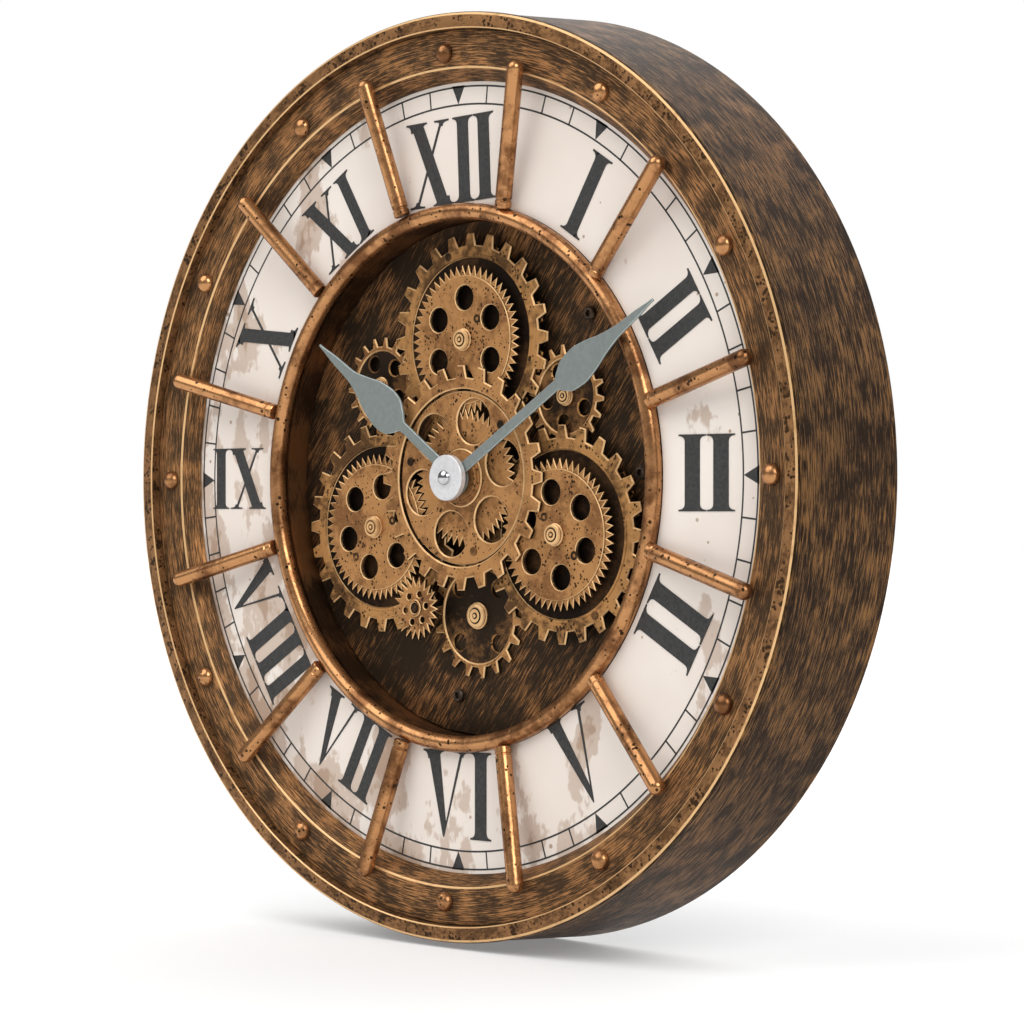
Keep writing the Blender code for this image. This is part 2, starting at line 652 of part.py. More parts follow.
def arbor_head():
    """The spread end that keeps an arbor in the gear plate."""
    top = PLATE_H - PLATE_T - GAP
    return rod(ARBOR_HEAD_R, top - ARBOR_HEAD_T, top, BORE_STEPS)


def make_satellites():
    """Three arbors round the centre, each with a fine wheel and a ring gear, two of them with a back step."""
    head_bottom = PLATE_H - PLATE_T - GAP - ARBOR_HEAD_T + OVERLAP
    for side, bearing in SATELLITE_TURNS.items():
        centre = satellite_centre(side)
        turn = in_mesh(0.0, CENTRE_TEETH, bearing, SATELLITE_TEETH)
        wheel = slab([fine_outline(SATELLITE_TEETH, turn)], FINE_H, WHEEL_T)
        raised = rod(RAISED_R, FINE_H - OVERLAP, RAISED_H, DISC_STEPS)
        shoulder_bottom = RING_H - WHEEL_T + WEB_T + GAP
        shoulder = rod(ARBOR_SHOULDER_R, shoulder_bottom, FINE_H - WHEEL_T + OVERLAP, BORE_STEPS)
        stem = arbor(RAISED_H + ARBOR_RISE, head_bottom)
        holes = [rod(WHEEL_HOLE_R, FINE_H - 2 * WHEEL_T, RAISED_H + WHEEL_T, HOLE_STEPS,
                     polar(WHEEL_HOLE_CIRCLE_R, HOLE_TURNS[side] + 360.0 * i / WHEEL_HOLES))
                 for i in range(WHEEL_HOLES)]
        solid = joined(cut(joined(wheel, raised), *holes), shoulder, stem, arbor_head())
        piece(f"{side}_fine_wheel", solid, GEAR_BRONZE, centre)

        outline = toothed(RING_TEETH, RING_TIP_R - RING_TOOTH, RING_TIP_R, BROAD_ROOT_SHARE, BROAD_TIP_SHARE)
        ring = slab([outline, circle(RING_EDGE_R, DISC_STEPS)], RING_H, WHEEL_T)
        web_top = RING_H - WHEEL_T + WEB_T
        parts = [rod(RING_EDGE_R + OVERLAP, RING_H - WHEEL_T, web_top, DISC_STEPS)]
        if side == "top":
            teeth = step_outline(TOP_STEP_TEETH, top_module(), TOP_STEP_ADDENDUM)
            parts.append(rod(TOP_NECK_R, TOP_STEP_H - OVERLAP, RING_H - WHEEL_T + OVERLAP, DISC_STEPS))
            parts.append(slab([teeth], TOP_STEP_H, WHEEL_T))
        if side == "right":
            teeth = step_outline(RIGHT_STEP_TEETH, right_module(), RIGHT_STEP_ADDENDUM)
            parts.append(rod(RIGHT_NECK_R, RIGHT_STEP_H - OVERLAP, RING_H - WHEEL_T + OVERLAP, DISC_STEPS))
            parts.append(slab([teeth], RIGHT_STEP_H, WHEEL_T))
        bore = rod(ARBOR_R + GAP, PLATE_H, RING_H + WHEEL_T, BORE_STEPS)
        piece(f"{side}_ring_gear", cut(joined(ring, *parts), bore), GEAR_BRONZE, centre)


def top_module():
    return 2 * TOP_STEP_CENTRES / (TOP_STEP_TEETH + SMALL_TEETH)


def right_module():
    return 2 * RIGHT_STEP_CENTRES / (RIGHT_STEP_TEETH + SMALL_TEETH)


def make_small_gears():
    """Two upper gears behind the top wheel, the lower gear on the motor, and the pinion on its bracket."""
    centres = arbor_centres()
    top_drive = (TOP_STEP_TEETH, top_module(), TOP_STEP_ADDENDUM, TOP_STEP_H)
    right_drive = (RIGHT_STEP_TEETH, right_module(), RIGHT_STEP_ADDENDUM, RIGHT_STEP_H)
    drives = {"upper_left_gear": (UPPER_LEFT_BEARING, top_drive),
              "upper_right_gear": (UPPER_RIGHT_BEARING, top_drive),
              "lower_gear": (LOWER_BEARING, right_drive)}
    for name, (bearing, (driver_teeth, module, addendum, top)) in drives.items():
        turn = in_mesh(0.0, driver_teeth, bearing, SMALL_TEETH)
        count, hole_r, circle_r = SMALL_HOLES[name]
        outlines = [step_outline(SMALL_TEETH, module, addendum, turn)]
        outlines += ring_of_holes(count, hole_r, circle_r, SMALL_HOLES_TURN, HOLE_STEPS)
        wheel = slab(outlines, top, WHEEL_T)
        if name == "lower_gear":
            solid = joined(wheel, arbor(top + ARBOR_RISE, HOUSING_H - MOTOR_REACH))
        else:
            head_bottom = PLATE_H - PLATE_T - GAP - ARBOR_HEAD_T + OVERLAP
            solid = joined(wheel, arbor(top + ARBOR_RISE, head_bottom), arbor_head())
        piece(name, solid, GEAR_BRONZE, centres[name])

    left_turn = in_mesh(0.0, CENTRE_TEETH, SATELLITE_TURNS["left"], SATELLITE_TEETH)
    turn = in_mesh(left_turn, SATELLITE_TEETH, PINION_BEARING, PINION_TEETH)
    wheel = slab([fine_outline(PINION_TEETH, turn)], PINION_H, WHEEL_T)
    boss = rod(PINION_BOSS_R, PINION_H - OVERLAP, PINION_H + PINION_BOSS_T, BORE_STEPS)
    bore = rod(PINION_STUD_R + GAP, ARM_H, PINION_H + WHEEL_T, BORE_STEPS)
    piece("small_pinion", cut(joined(wheel, boss), bore), GEAR_BRONZE, pinion_centre())


def hand_outline(half_outline):
    right = [(width * UNIT, along * UNIT) for along, width in half_outline]
    left = [(-width * UNIT, along * UNIT) for along, width in reversed(half_outline)]
    return right + left


def make_hands():
    """Hour hand with its tube, minute hand, its arbor, and the cap nut."""
    blade = slab([hand_outline(HOUR_OUTLINE)], HOUR_H + HOUR_T, HOUR_T)
    hub = rod(HOUR_HUB_R, HOUR_H, HOUR_H + HOUR_T, DISC_STEPS)
    tube = rod(TUBE_R, HOUSING_H - TUBE_REACH, HOUR_H + OVERLAP, BORE_STEPS)
    bore = rod(TUBE_BORE_R, HOUSING_H - 2 * TUBE_REACH, HOUR_H + 2 * HOUR_T, BORE_STEPS)
    piece("hour_hand", cut(joined(blade, hub, tube), bore), HAND_GREY, turn=HOUR_TURN)

    blade = slab([hand_outline(MINUTE_OUTLINE)], MINUTE_BLADE_T, MINUTE_BLADE_T)
    tip = MINUTE_OUTLINE[-1][0] * UNIT
    lean = MINUTE_LIFT / tip
    for vertex in blade.vertices:
        vertex.co.z += MINUTE_H + lean * vertex.co.y
    hub = rod(MINUTE_HUB_R, MINUTE_H, MINUTE_H + MINUTE_HUB_T, DISC_STEPS)
    bore = rod(MINUTE_ARBOR_R + GAP, MINUTE_H - HOUR_T, MINUTE_H + 2 * MINUTE_HUB_T, BORE_STEPS)
    piece("minute_hand", cut(joined(hub, blade), bore), HAND_GREY, turn=MINUTE_TURN)

    arbor_top = CAP_H + CAP_T / 2
    piece("minute_arbor", rod(MINUTE_ARBOR_R, HOUSING_BACK + ARBOR_FOOT, arbor_top, BORE_STEPS), BRIGHT_STEEL)

    cap_top = CAP_H + CAP_T
    nipple = [(CAP_NIPPLE_R * math.sin(a), cap_top + CAP_NIPPLE_RISE * math.cos(a))
              for a in map(math.radians, DOME_ANGLES)]
    cap = turned(nipple + [(CAP_R, cap_top), (CAP_R, CAP_H), (0.0, CAP_H)], DISC_STEPS, closed=False)
    bore = rod(MINUTE_ARBOR_R + GAP, CAP_H - GAP, arbor_top + GAP, BORE_STEPS)
    piece("hand_nut", cut(cap, bore), BRIGHT_STEEL)


def make_movement():
    """The quartz movement with its bush, nut, battery and setting knob, and the motor of the gears."""
    half = HOUSING_SIDE / 2
    box = block(-half, half, -half, half, HOUSING_BACK, HOUSING_H)
    bush = rod(BUSH_R, HOUSING_H - OVERLAP, DIAL_H, HUB_STEPS)
    tube_bore = rod(BUSH_BORE_R, HOUSING_H - TUBE_REACH - GAP, DIAL_H + GAP, BORE_STEPS)
    arbor_bore = rod(MINUTE_ARBOR_R + GAP, HOUSING_BACK + ARBOR_FOOT - GAP, HOUSING_H, BORE_STEPS)
    knob_bore = rod(KNOB_SHAFT_R + GAP, HOUSING_BACK - GAP, HOUSING_BACK + KNOB_REACH + GAP, HOLE_STEPS,
                    (0.0, KNOB_Y))
    battery_h = HOUSING_BACK + BATTERY_SINK + BATTERY_R
    bay_half = BATTERY_LENGTH / 2 + GAP
    bay = block(-bay_half, bay_half, BATTERY_Y - BATTERY_R - GAP, BATTERY_Y + BATTERY_R + GAP,
                HOUSING_BACK - GAP, battery_h + BATTERY_R + GAP)
    piece("movement_housing", cut(joined(box, bush), tube_bore, arbor_bore, knob_bore, bay), BLACK_PLASTIC)

    nut_bottom = PLATE_H + GAP
    nut = slab([circle(NUT_R, HEXAGON), circle(SLEEVE_BORE_R, HUB_STEPS)], nut_bottom + NUT_T, NUT_T)
    piece("fixing_nut", nut, BRIGHT_STEEL)

    end = BATTERY_LENGTH / 2
    body = cross_rod(BATTERY_R, -end, end - NUB_LENGTH, BATTERY_Y, battery_h, BORE_STEPS)
    nub = cross_rod(NUB_R, end - 2 * NUB_LENGTH, end, BATTERY_Y, battery_h, HOLE_STEPS)
    piece("battery", joined(body, nub), BATTERY_GREEN)

    knob_top = HOUSING_BACK - GAP
    knob = slab([toothed(KNOB_FLUTES, KNOB_R - GAP, KNOB_R, 1.0, KNOB_LAND)], knob_top, KNOB_T)
    shaft = rod(KNOB_SHAFT_R, knob_top - OVERLAP, HOUSING_BACK + KNOB_REACH, HOLE_STEPS)
    piece("setting_knob", joined(knob, shaft), GREY_PLASTIC, (0.0, KNOB_Y))

    centre = arbor_centres()["lower_gear"]
    half = MOTOR_SIDE / 2
    box = block(-half, half, -half, half, HOUSING_BACK, HOUSING_H)
    bore = rod(ARBOR_R + GAP, HOUSING_H - MOTOR_REACH - GAP, HOUSING_H + GAP, BORE_STEPS)
    piece("gear_motor", cut(box, bore), BLACK_PLASTIC, centre)


def make_back(panel_r):
    """The rear panel with its hatch over the battery, the keyhole hanger and the gears' switch."""
    middle = PANEL_T / 2
    hatch_gap_low = HATCH_BOTTOM + GAP
    hinge_y = hatch_gap_low + middle
    hatch_half = HATCH_HALF_WIDTH - GAP
    window_half, window_rise = HANGER_WINDOW
    slot_half, slot_rise = SWITCH_SLOT
    panel = slab([circle(panel_r, BIG_STEPS)], PANEL_T, PANEL_T)
    hatch_window = block(-HATCH_HALF_WIDTH, HATCH_HALF_WIDTH, HATCH_BOTTOM, HATCH_TOP, -PANEL_T, 2 * PANEL_T)
    socket_end = hatch_half + TRUNNION_LENGTH + GAP
    socket = cross_rod(TRUNNION_R + GAP, -socket_end, socket_end, hinge_y, middle, SMALL_STEPS)
    hanger_window = block(-window_half, window_half, HANGER_Y - window_rise, HANGER_Y + window_rise,
                          -PANEL_T, 2 * PANEL_T)
    switch_slot = block(SWITCH_X - slot_half, SWITCH_X + slot_half,
                        SWITCH_Y - slot_rise, SWITCH_Y + slot_rise, -PANEL_T, 2 * PANEL_T)
    piece("rear_panel", cut(panel, hatch_window, socket, hanger_window, switch_slot), DARK_PATINA)

    # The hatch is drawn round its hinge line, which is its origin.
    leaf_top = HATCH_TOP - GAP - hinge_y
    leaf = block(-hatch_half, hatch_half, 0.0, leaf_top, -middle, middle)
    edge = cross_rod(middle, -hatch_half, hatch_half, 0.0, 0.0, BORE_STEPS)
    pin_end = hatch_half + TRUNNION_LENGTH
    pins = cross_rod(TRUNNION_R, -pin_end, pin_end, 0.0, 0.0, SMALL_STEPS)
    hatch = piece("rear_hatch", joined(leaf, edge, pins), BLACK_PLASTIC, (0.0, hinge_y))
    hatch.location.z = middle

    hanger_x = window_half + HANGER_OVERLAP
    hanger_rise = window_rise + HANGER_OVERLAP
    low = HANGER_Y - KEYHOLE_DROP
    outline = [(-hanger_x, HANGER_Y - hanger_rise), (hanger_x, HANGER_Y - hanger_rise),
               (hanger_x, HANGER_Y + hanger_rise), (-hanger_x, HANGER_Y + hanger_rise)]
    hanger_top = PANEL_T + GAP + HANGER_T
    keyhole = rod(KEYHOLE_R, hanger_top - 2 * HANGER_T, hanger_top + HANGER_T, BORE_STEPS, (0.0, low))
    slot = slab([capsule((0.0, low), (0.0, HANGER_Y + SLOT_RISE), SLOT_HALF_WIDTH)], hanger_top + HANGER_T,
                3 * HANGER_T)
    piece("hanger_plate", cut(slab([outline], hanger_top, HANGER_T), keyhole, slot), DARK_STEEL)

    # The switch rests at the left end of its slot.
    nub_half = slot_half - SWITCH_TRAVEL / 2 - GAP
    rest_x = SWITCH_X - SWITCH_TRAVEL / 2
    base_half, base_rise = SWITCH_BASE
    base_h = PANEL_T + GAP
    base = block(-base_half, base_half, -base_rise, base_rise, base_h, base_h + SWITCH_BASE_T)
    nub = block(-nub_half, nub_half, GAP - slot_rise, slot_rise - GAP, SWITCH_SET_BACK, base_h + OVERLAP)
    piece("power_switch", joined(base, nub), GREY_PLASTIC, (rest_x, SWITCH_Y))


def build():
    frame = bpy.data.objects.new(FRAME, None)
    bpy.context.scene.collection.objects.link(frame)
    frame.rotation_euler.x = math.pi / 2
    bpy.context.scene.collection.children.link(bpy.data.collections.new(COLLECTION))
    inner_front, inner_back = make_case()
    make_flange()
    make_dial(inner_front - GAP)
    make_well()
    make_centre_gear()
    make_satellites()
    make_small_gears()
    make_hands()
    make_movement()
    make_back(inner_back - GAP)


COLLECTION = "acrylic_wall_clock"
FRAME = "standing_frame"

for old in list(bpy.data.objects):
    bpy.data.objects.remove(old)
build()
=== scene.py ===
# %% [markdown]
# # A bronze wall clock with turning gears
#
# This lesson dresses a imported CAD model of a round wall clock. The model says where each part is and how it
# moves. The lesson gives each part its fine shape and its finish, and adds a floor, soft light and a camera.
# The frame comes first, because every piece here rides on one of its bodies.

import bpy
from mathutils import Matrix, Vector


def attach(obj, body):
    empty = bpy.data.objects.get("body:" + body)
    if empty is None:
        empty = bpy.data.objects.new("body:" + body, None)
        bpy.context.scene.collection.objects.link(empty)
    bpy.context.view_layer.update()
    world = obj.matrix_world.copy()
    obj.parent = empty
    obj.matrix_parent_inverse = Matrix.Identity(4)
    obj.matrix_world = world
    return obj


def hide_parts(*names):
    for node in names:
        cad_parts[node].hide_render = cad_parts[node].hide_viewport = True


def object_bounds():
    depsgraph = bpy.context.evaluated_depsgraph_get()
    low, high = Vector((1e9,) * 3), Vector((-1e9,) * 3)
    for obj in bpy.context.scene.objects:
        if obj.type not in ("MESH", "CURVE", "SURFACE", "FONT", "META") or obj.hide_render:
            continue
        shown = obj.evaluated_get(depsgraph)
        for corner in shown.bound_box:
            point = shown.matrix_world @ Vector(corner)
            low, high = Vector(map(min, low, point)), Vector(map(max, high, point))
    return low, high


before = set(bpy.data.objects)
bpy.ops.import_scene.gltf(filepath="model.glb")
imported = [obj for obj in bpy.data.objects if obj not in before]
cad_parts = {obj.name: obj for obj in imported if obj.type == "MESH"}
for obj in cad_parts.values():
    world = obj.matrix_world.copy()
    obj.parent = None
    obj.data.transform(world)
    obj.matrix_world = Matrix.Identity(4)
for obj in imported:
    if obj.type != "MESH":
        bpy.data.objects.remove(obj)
cad_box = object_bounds()

# %% [markdown]
# ## One way of drawing for every part
#
# A clock is easiest to draw lying on its back: x runs right, y runs up the dial and z is the height over the
# wall. All parts are made that way, in metres, and one quarter turn then stands them up. Places on the dial
# are clock turns, in degrees clockwise from 12, because that is how a clock is read.

# %% Tools for placing
import math

import bmesh
import bpy
from mathutils import Matrix, Vector

STAND = Matrix.Rotation(math.pi / 2, 4, "X")
MM = 0.001


def polar(radius, turn):
    """The point at this radius and clock turn."""
    angle = math.radians(turn)
    return radius * math.sin(angle), radius * math.cos(angle)


def from_point(point, radius, bearing):
    """The point at this radius and bearing from another point."""
    x, y = polar(radius, bearing)
    return point[0] + x, point[1] + y


print("12 and 3 on a 100 mm circle:", polar(0.1, 0), polar(0.1, 90))

# %% [markdown]
# Node trees are the same to build for shapes and for finishes: make a node, set its switches, and give each
# input either a value or another node's output. One small helper does that. Most nodes are wanted only for
# their first output, so a second helper hands that over at once. Sums are such nodes too.

# %% Tools for node trees
def add(tree, kind, inputs=None, **switches):
    """A new node with its inputs set or linked."""
    node = tree.nodes.new(kind)
    for name, value in switches.items():
        setattr(node, name, value)
    for key, value in (inputs or {}).items():
        socket = node.inputs[key]
        if isinstance(value, bpy.types.NodeSocket):
            tree.links.new(value, socket)
        else:
            socket.default_value = value
    return node


def made(tree, kind, inputs=None, **switches):
    """The first output of a new node."""
    return add(tree, kind, inputs, **switches).outputs[0]


def add_sum(tree, operation, first, second=0.0):
    """One step of arithmetic in a tree."""
    return made(tree, "ShaderNodeMath", {0: first, 1: second}, operation=operation)


def plus(tree, first, second):
    return add_sum(tree, "ADD", first, second)


def minus(tree, first, second):
    return add_sum(tree, "SUBTRACT", first, second)


def times(tree, first, second):
    return add_sum(tree, "MULTIPLY", first, second)


print("node tools:", add.__name__, made.__name__, plus.__name__, minus.__name__, times.__name__)

# %% [markdown]
# A Geometry Nodes tree is a recipe with named inputs for its sizes. It ends by making its instances real,
# because the export drops instances. A modifier on a draft object runs it, and the draft's finished mesh is
# then taken as a plain mesh that needs no modifier.

# %% Tools for shape trees
def shape_tree(name, sockets):
    """A new Geometry Nodes tree with these named inputs, and its input node."""
    tree = bpy.data.node_groups.new(name, "GeometryNodeTree")
    tree.interface.new_socket("Geometry", in_out="OUTPUT", socket_type="NodeSocketGeometry")
    tree.interface.new_socket("Geometry", in_out="INPUT", socket_type="NodeSocketGeometry")
    for label, kind in sockets:
        tree.interface.new_socket(label, in_out="INPUT", socket_type="NodeSocket" + kind)
    return tree, add(tree, "NodeGroupInput").outputs


def end_tree(tree, geometry, material):
    """Every tree ends the same way: real geometry, one material, and the output."""
    real = made(tree, "GeometryNodeRealizeInstances", {"Geometry": geometry})
    painted = made(tree, "GeometryNodeSetMaterial", {"Geometry": real, "Material": material})
    add(tree, "NodeGroupOutput", {"Geometry": painted})


def grown(mesh, tree, **values):
    """The plain mesh that the tree makes from a start mesh. Inputs are set by identifier, not by name."""
    obj = bpy.data.objects.new("draft", mesh)
    bpy.context.scene.collection.objects.link(obj)
    modifier = obj.modifiers.new("shape", "NODES")
    modifier.node_group = tree
    for item in tree.interface.items_tree:
        label = item.name.lower().replace(" ", "_")
        if item.in_out == "INPUT" and label in values:
            modifier[item.identifier] = values[label]
    return settled(obj)


def settled(obj):
    """Takes a draft object's finished mesh and removes the object."""
    bpy.context.view_layer.update()
    mesh = bpy.data.meshes.new_from_object(obj.evaluated_get(bpy.context.evaluated_depsgraph_get()))
    bpy.data.objects.remove(obj)
    return mesh


print("shape trees so far:", len(bpy.data.node_groups))

# %% [markdown]
# ## Finishes
#
# The whole clock wears one family of finishes: dark patina, lighter rubbed bronze and polished copper. They
# differ in colour and in how fine their marks are, so one function mixes them all. It needs two noises, a
# broad one for cloudy wear and a fine one for streaks, and the same noises change the gloss and the relief,
# as real wear does.
#
# Marks on turned parts run round the axis. The pattern's coordinates are bent for that: the direction from
# the axis, which changes slowly along a circle, and the distance from it, which is stretched much more.

# %% Pattern coordinates
def plain_grain(tree, stretch=(1.0, 1.0, 1.0), turn=0.0):
    """Object coordinates, turned about the clock's axis and then squeezed: more squeeze, finer marks."""
    where = add(tree, "ShaderNodeTexCoord").outputs["Object"]
    values = {"Vector": where, "Rotation": (0.0, math.radians(turn), 0.0),
              "Scale": [1.0 / s for s in stretch]}
    return made(tree, "ShaderNodeMapping", values, vector_type="TEXTURE")


def vector_sum(tree, operation, inputs, output=0):
    """One step of arithmetic with vectors."""
    return add(tree, "ShaderNodeVectorMath", inputs, operation=operation).outputs[output]


def turned_grain(tree, along, across):
    """Coordinates whose marks run round the clock's axis: slow along a circle, fast across it."""
    where = add(tree, "ShaderNodeTexCoord").outputs["Object"]
    flat = vector_sum(tree, "MULTIPLY", {0: where, 1: (1.0, 0.0, 1.0)})
    radius = vector_sum(tree, "LENGTH", {0: flat}, "Value")
    heading = vector_sum(tree, "NORMALIZE", {0: flat})
    slow = vector_sum(tree, "SCALE", {0: heading, "Scale": along})
    depth = add(tree, "ShaderNodeSeparateXYZ", {0: where}).outputs["Y"]
    fast = times(tree, minus(tree, radius, depth), across)
    lift = made(tree, "ShaderNodeCombineXYZ", {"Y": fast})
    return vector_sum(tree, "ADD", {0: slow, 1: lift})


def round_marks(tree):
    return turned_grain(tree, 20.0, 2600.0)


def rim_marks(tree):
    return turned_grain(tree, 70.0, 900.0)


def floor_marks(tree):
    return plain_grain(tree, (2200.0, 300.0, 140.0), 38.0)


def mottle(tree):
    return plain_grain(tree, (420.0, 420.0, 420.0))


print("four kinds of marks: round, rim, floor and mottle")

# %% [markdown]
# Patterns and colours take a few nodes each: a noise, a soft step from one value to another, and a mix of two
# colours. Every material has one Principled shader, and a Bump node gives it relief.

# %% Patterns, colours and relief
def noise(tree, vector, scale, detail=4.0, roughness=0.6):
    values = {"Vector": vector, "Scale": scale, "Detail": detail, "Roughness": roughness}
    return made(tree, "ShaderNodeTexNoise", values)


def steps(tree, value, low, high, bottom=0.0, top=1.0):
    """A soft step that goes from bottom at low to top at high."""
    values = {"Value": value, "From Min": low, "From Max": high, "To Min": bottom, "To Max": top}
    return made(tree, "ShaderNodeMapRange", values, interpolation_type="SMOOTHSTEP")


def mixed(tree, factor, first, second):
    """Two colours by a factor."""
    node = add(tree, "ShaderNodeMix", {0: factor}, data_type="RGBA")
    for socket, value in ((node.inputs[6], first), (node.inputs[7], second)):
        if isinstance(value, bpy.types.NodeSocket):
            tree.links.new(value, socket)
        else:
            socket.default_value = (*value, 1.0)
    return node.outputs[2]


def new_finish(name, **fixed):
    """A material with one shader. Values that are the same all over go straight on its sockets."""
    material = bpy.data.materials.new(name)
    material.use_nodes = True
    tree = material.node_tree
    tree.nodes.clear()
    shader = add(tree, "ShaderNodeBsdfPrincipled")
    for label, value in fixed.items():
        shader.inputs[label.replace("_", " ")].default_value = value
    add(tree, "ShaderNodeOutputMaterial", {"Surface": shader.outputs[0]})
    return material, tree, shader


def relief(tree, shader, height, depth):
    """Raises the surface by this depth in metres where the height is 1."""
    bump = made(tree, "ShaderNodeBump", {"Strength": 1.0, "Distance": depth, "Height": height})
    tree.links.new(bump, shader.inputs["Normal"])


print("materials before the first finish:", len(bpy.data.materials))

# %% [markdown]
# Aged metal is drawn in three layers. The dark old surface lies lowest. Rubbed metal shows through where a
# mix of broad clouds and fine grain is high, so that streaks come in patches, as they do where cloths and
# hands have passed. Small dark pits from a cell pattern come last. Rubbed places are glossier than dark ones.

# %% Aged metal
GLOSS_REACH = 0.05  # the gloss changes over a little more than the colour does
PIT_ROOM = 0.34  # pits come where a broad noise is higher than this
PIT_BORDER = 0.03  # half the width of a pit's soft border
PIT_COLOUR = (0.05, 0.026, 0.012)


def aged_metal(name, dark, rubbed, grain, cloud, share, rub, metallic, gloss, pits=0.0, pit_size=1.0,
               depth=0.00008):
    """Dark metal that is rubbed where clouds and grain are high. Share is how much the grain counts."""
    material, tree, shader = new_finish(name, Metallic=metallic, Specular_IOR_Level=0.08)
    wide = plain_grain(tree)
    clouds = noise(tree, wide, cloud, 4.0, 0.55)
    fine = noise(tree, grain(tree), 1.0, 4.0, 0.7)
    both = plus(tree, times(tree, clouds, 1.0 - share), times(tree, fine, share))
    worn = steps(tree, both, *rub)
    colour = mixed(tree, worn, dark, rubbed)
    height = plus(tree, fine, times(tree, worn, 0.5))
    if pits > 0.0:
        scale = 1000.0 / pit_size
        cells = add(tree, "ShaderNodeTexVoronoi", {"Vector": wide, "Scale": scale}).outputs["Distance"]
        room = times(tree, minus(tree, noise(tree, wide, scale * 0.3, 2.0), PIT_ROOM), pits)
        pit = steps(tree, minus(tree, room, cells), -PIT_BORDER, PIT_BORDER)
        colour = mixed(tree, pit, colour, PIT_COLOUR)
        height = minus(tree, height, times(tree, pit, 1.5))
    tree.links.new(colour, shader.inputs["Base Color"])
    polish = steps(tree, both, rub[0] - GLOSS_REACH, rub[1] + GLOSS_REACH, *gloss)
    tree.links.new(polish, shader.inputs["Roughness"])
    relief(tree, shader, height, depth)
    return material


print("colour of pits:", PIT_COLOUR)

# %% [markdown]
# Now the metals themselves. Each has a dark colour, a rubbed colour and the marks of how it was made: round
# for what a lathe turned, slanting scratches for the floor plate and plain mottle for the gears. Drum, rim,
# flange and gears are a coating and so only partly metallic, while the copper rods, the well and the dark
# plates are nearly bare metal.

# %% The metals
PATINA = aged_metal("dark patina", (0.022, 0.0115, 0.0055), (0.238, 0.113, 0.036), round_marks, cloud=95.0,
                    share=0.72, rub=(0.47, 0.61), metallic=0.6, gloss=(0.5, 0.38))
FLANGE = aged_metal("streaked flange", (0.064, 0.038, 0.021), (0.46, 0.220, 0.084), round_marks, cloud=100.0,
                    share=0.7, rub=(0.46, 0.61), metallic=0.6, gloss=(0.52, 0.42))
WELL = aged_metal("well wall", (0.045, 0.023, 0.012), (0.23, 0.098, 0.036), round_marks, cloud=45.0,
                  share=0.4, rub=(0.42, 0.58), metallic=0.85, gloss=(0.55, 0.4))
FLOOR_PLATE = aged_metal("scratched floor plate", (0.036, 0.024, 0.015), (0.38, 0.178, 0.068), floor_marks,
                         cloud=65.0, share=0.6, rub=(0.49, 0.64), metallic=0.8, gloss=(0.6, 0.45))
RIM = aged_metal("rim bronze", (0.11, 0.054, 0.023), (0.29, 0.145, 0.060), rim_marks, cloud=140.0, share=0.5,
                 rub=(0.40, 0.58), pits=1.7, pit_size=1.4, metallic=0.6, gloss=(0.52, 0.42))
COPPER = aged_metal("polished copper", (0.17, 0.072, 0.029), (0.50, 0.245, 0.102), mottle, cloud=80.0,
                    share=0.3, rub=(0.38, 0.56), pits=1.0, pit_size=2.2, metallic=0.85, gloss=(0.34, 0.24),
                    depth=0.00004)
GEAR = aged_metal("gear bronze", (0.22, 0.101, 0.039), (0.47, 0.236, 0.088), mottle, cloud=65.0, share=0.4,
                  rub=(0.38, 0.58), pits=1.2, pit_size=1.3, metallic=0.6, gloss=(0.54, 0.44), depth=0.00005)
# A darker copy of gear bronze for the toothed rings and the chamfers of deeper plates: painted shade for
# parts that lie deeper.
SHADED_GEAR = aged_metal("dark gear bronze", (0.105, 0.053, 0.022), (0.47, 0.240, 0.086), mottle, cloud=52.0,
                       share=0.35, rub=(0.40, 0.58), pits=1.2, pit_size=1.4, metallic=0.6, gloss=(0.56, 0.44),
                       depth=0.00005)
# Near-black for the webs and for the walls of the small plates: partly the web's own dark colour, partly
# painted shade in the recesses.
WEB_AND_SHADE = aged_metal("dark web", (0.016, 0.010, 0.007), (0.075, 0.038, 0.017), mottle, cloud=60.0, share=0.3,
                 rub=(0.46, 0.66), metallic=0.8, gloss=(0.62, 0.5), depth=0.00005)
# Dark finish of the small gears' lower plates, partly painted shade as they lie deeper, of the small screw
# heads, and of the gears' walls, where it is painted shade.
PLATE_AND_SHADE = aged_metal("dark gear plate", (0.030, 0.020, 0.013), (0.25, 0.122, 0.048), mottle, cloud=60.0,
                   share=0.35, rub=(0.46, 0.64), pits=1.0, pit_size=2.0, metallic=0.85, gloss=(0.58, 0.46),
                   depth=0.00005)
# Bright edge finish for chamfers, rim steps, the flange's inner edge and stud tops: partly rubbed wear,
# partly a painted highlight.
RUBBED_EDGE_AND_HIGHLIGHT = aged_metal("rubbed edge and painted highlight", (0.48, 0.265, 0.110), (0.72, 0.45, 0.215), mottle, cloud=90.0, share=0.3,
                  rub=(0.32, 0.5), metallic=0.35, gloss=(0.42, 0.32), depth=0.00002)
print("materials with the metals:", len(bpy.data.materials))

# %% [markdown]
# The other finishes are simpler. The dial is cream lacquer with brown stains, which gather at the left and at
# the bottom, where damp got in. The numerals are dull charcoal. The hands are flat slate grey with a lighter
# grey on their chamfers as a painted highlight, the cap is brushed silver, and what is behind the panel is
# moulded plastic, steel and a battery's sleeve.

# %% Dial finish
PAPER = (0.75, 0.665, 0.595), (0.81, 0.745, 0.68)
PALE_STAIN = (0.56, 0.45, 0.37)
DEEP_STAIN = (0.40, 0.28, 0.20)
SPECKS = (0.42, 0.31, 0.23)


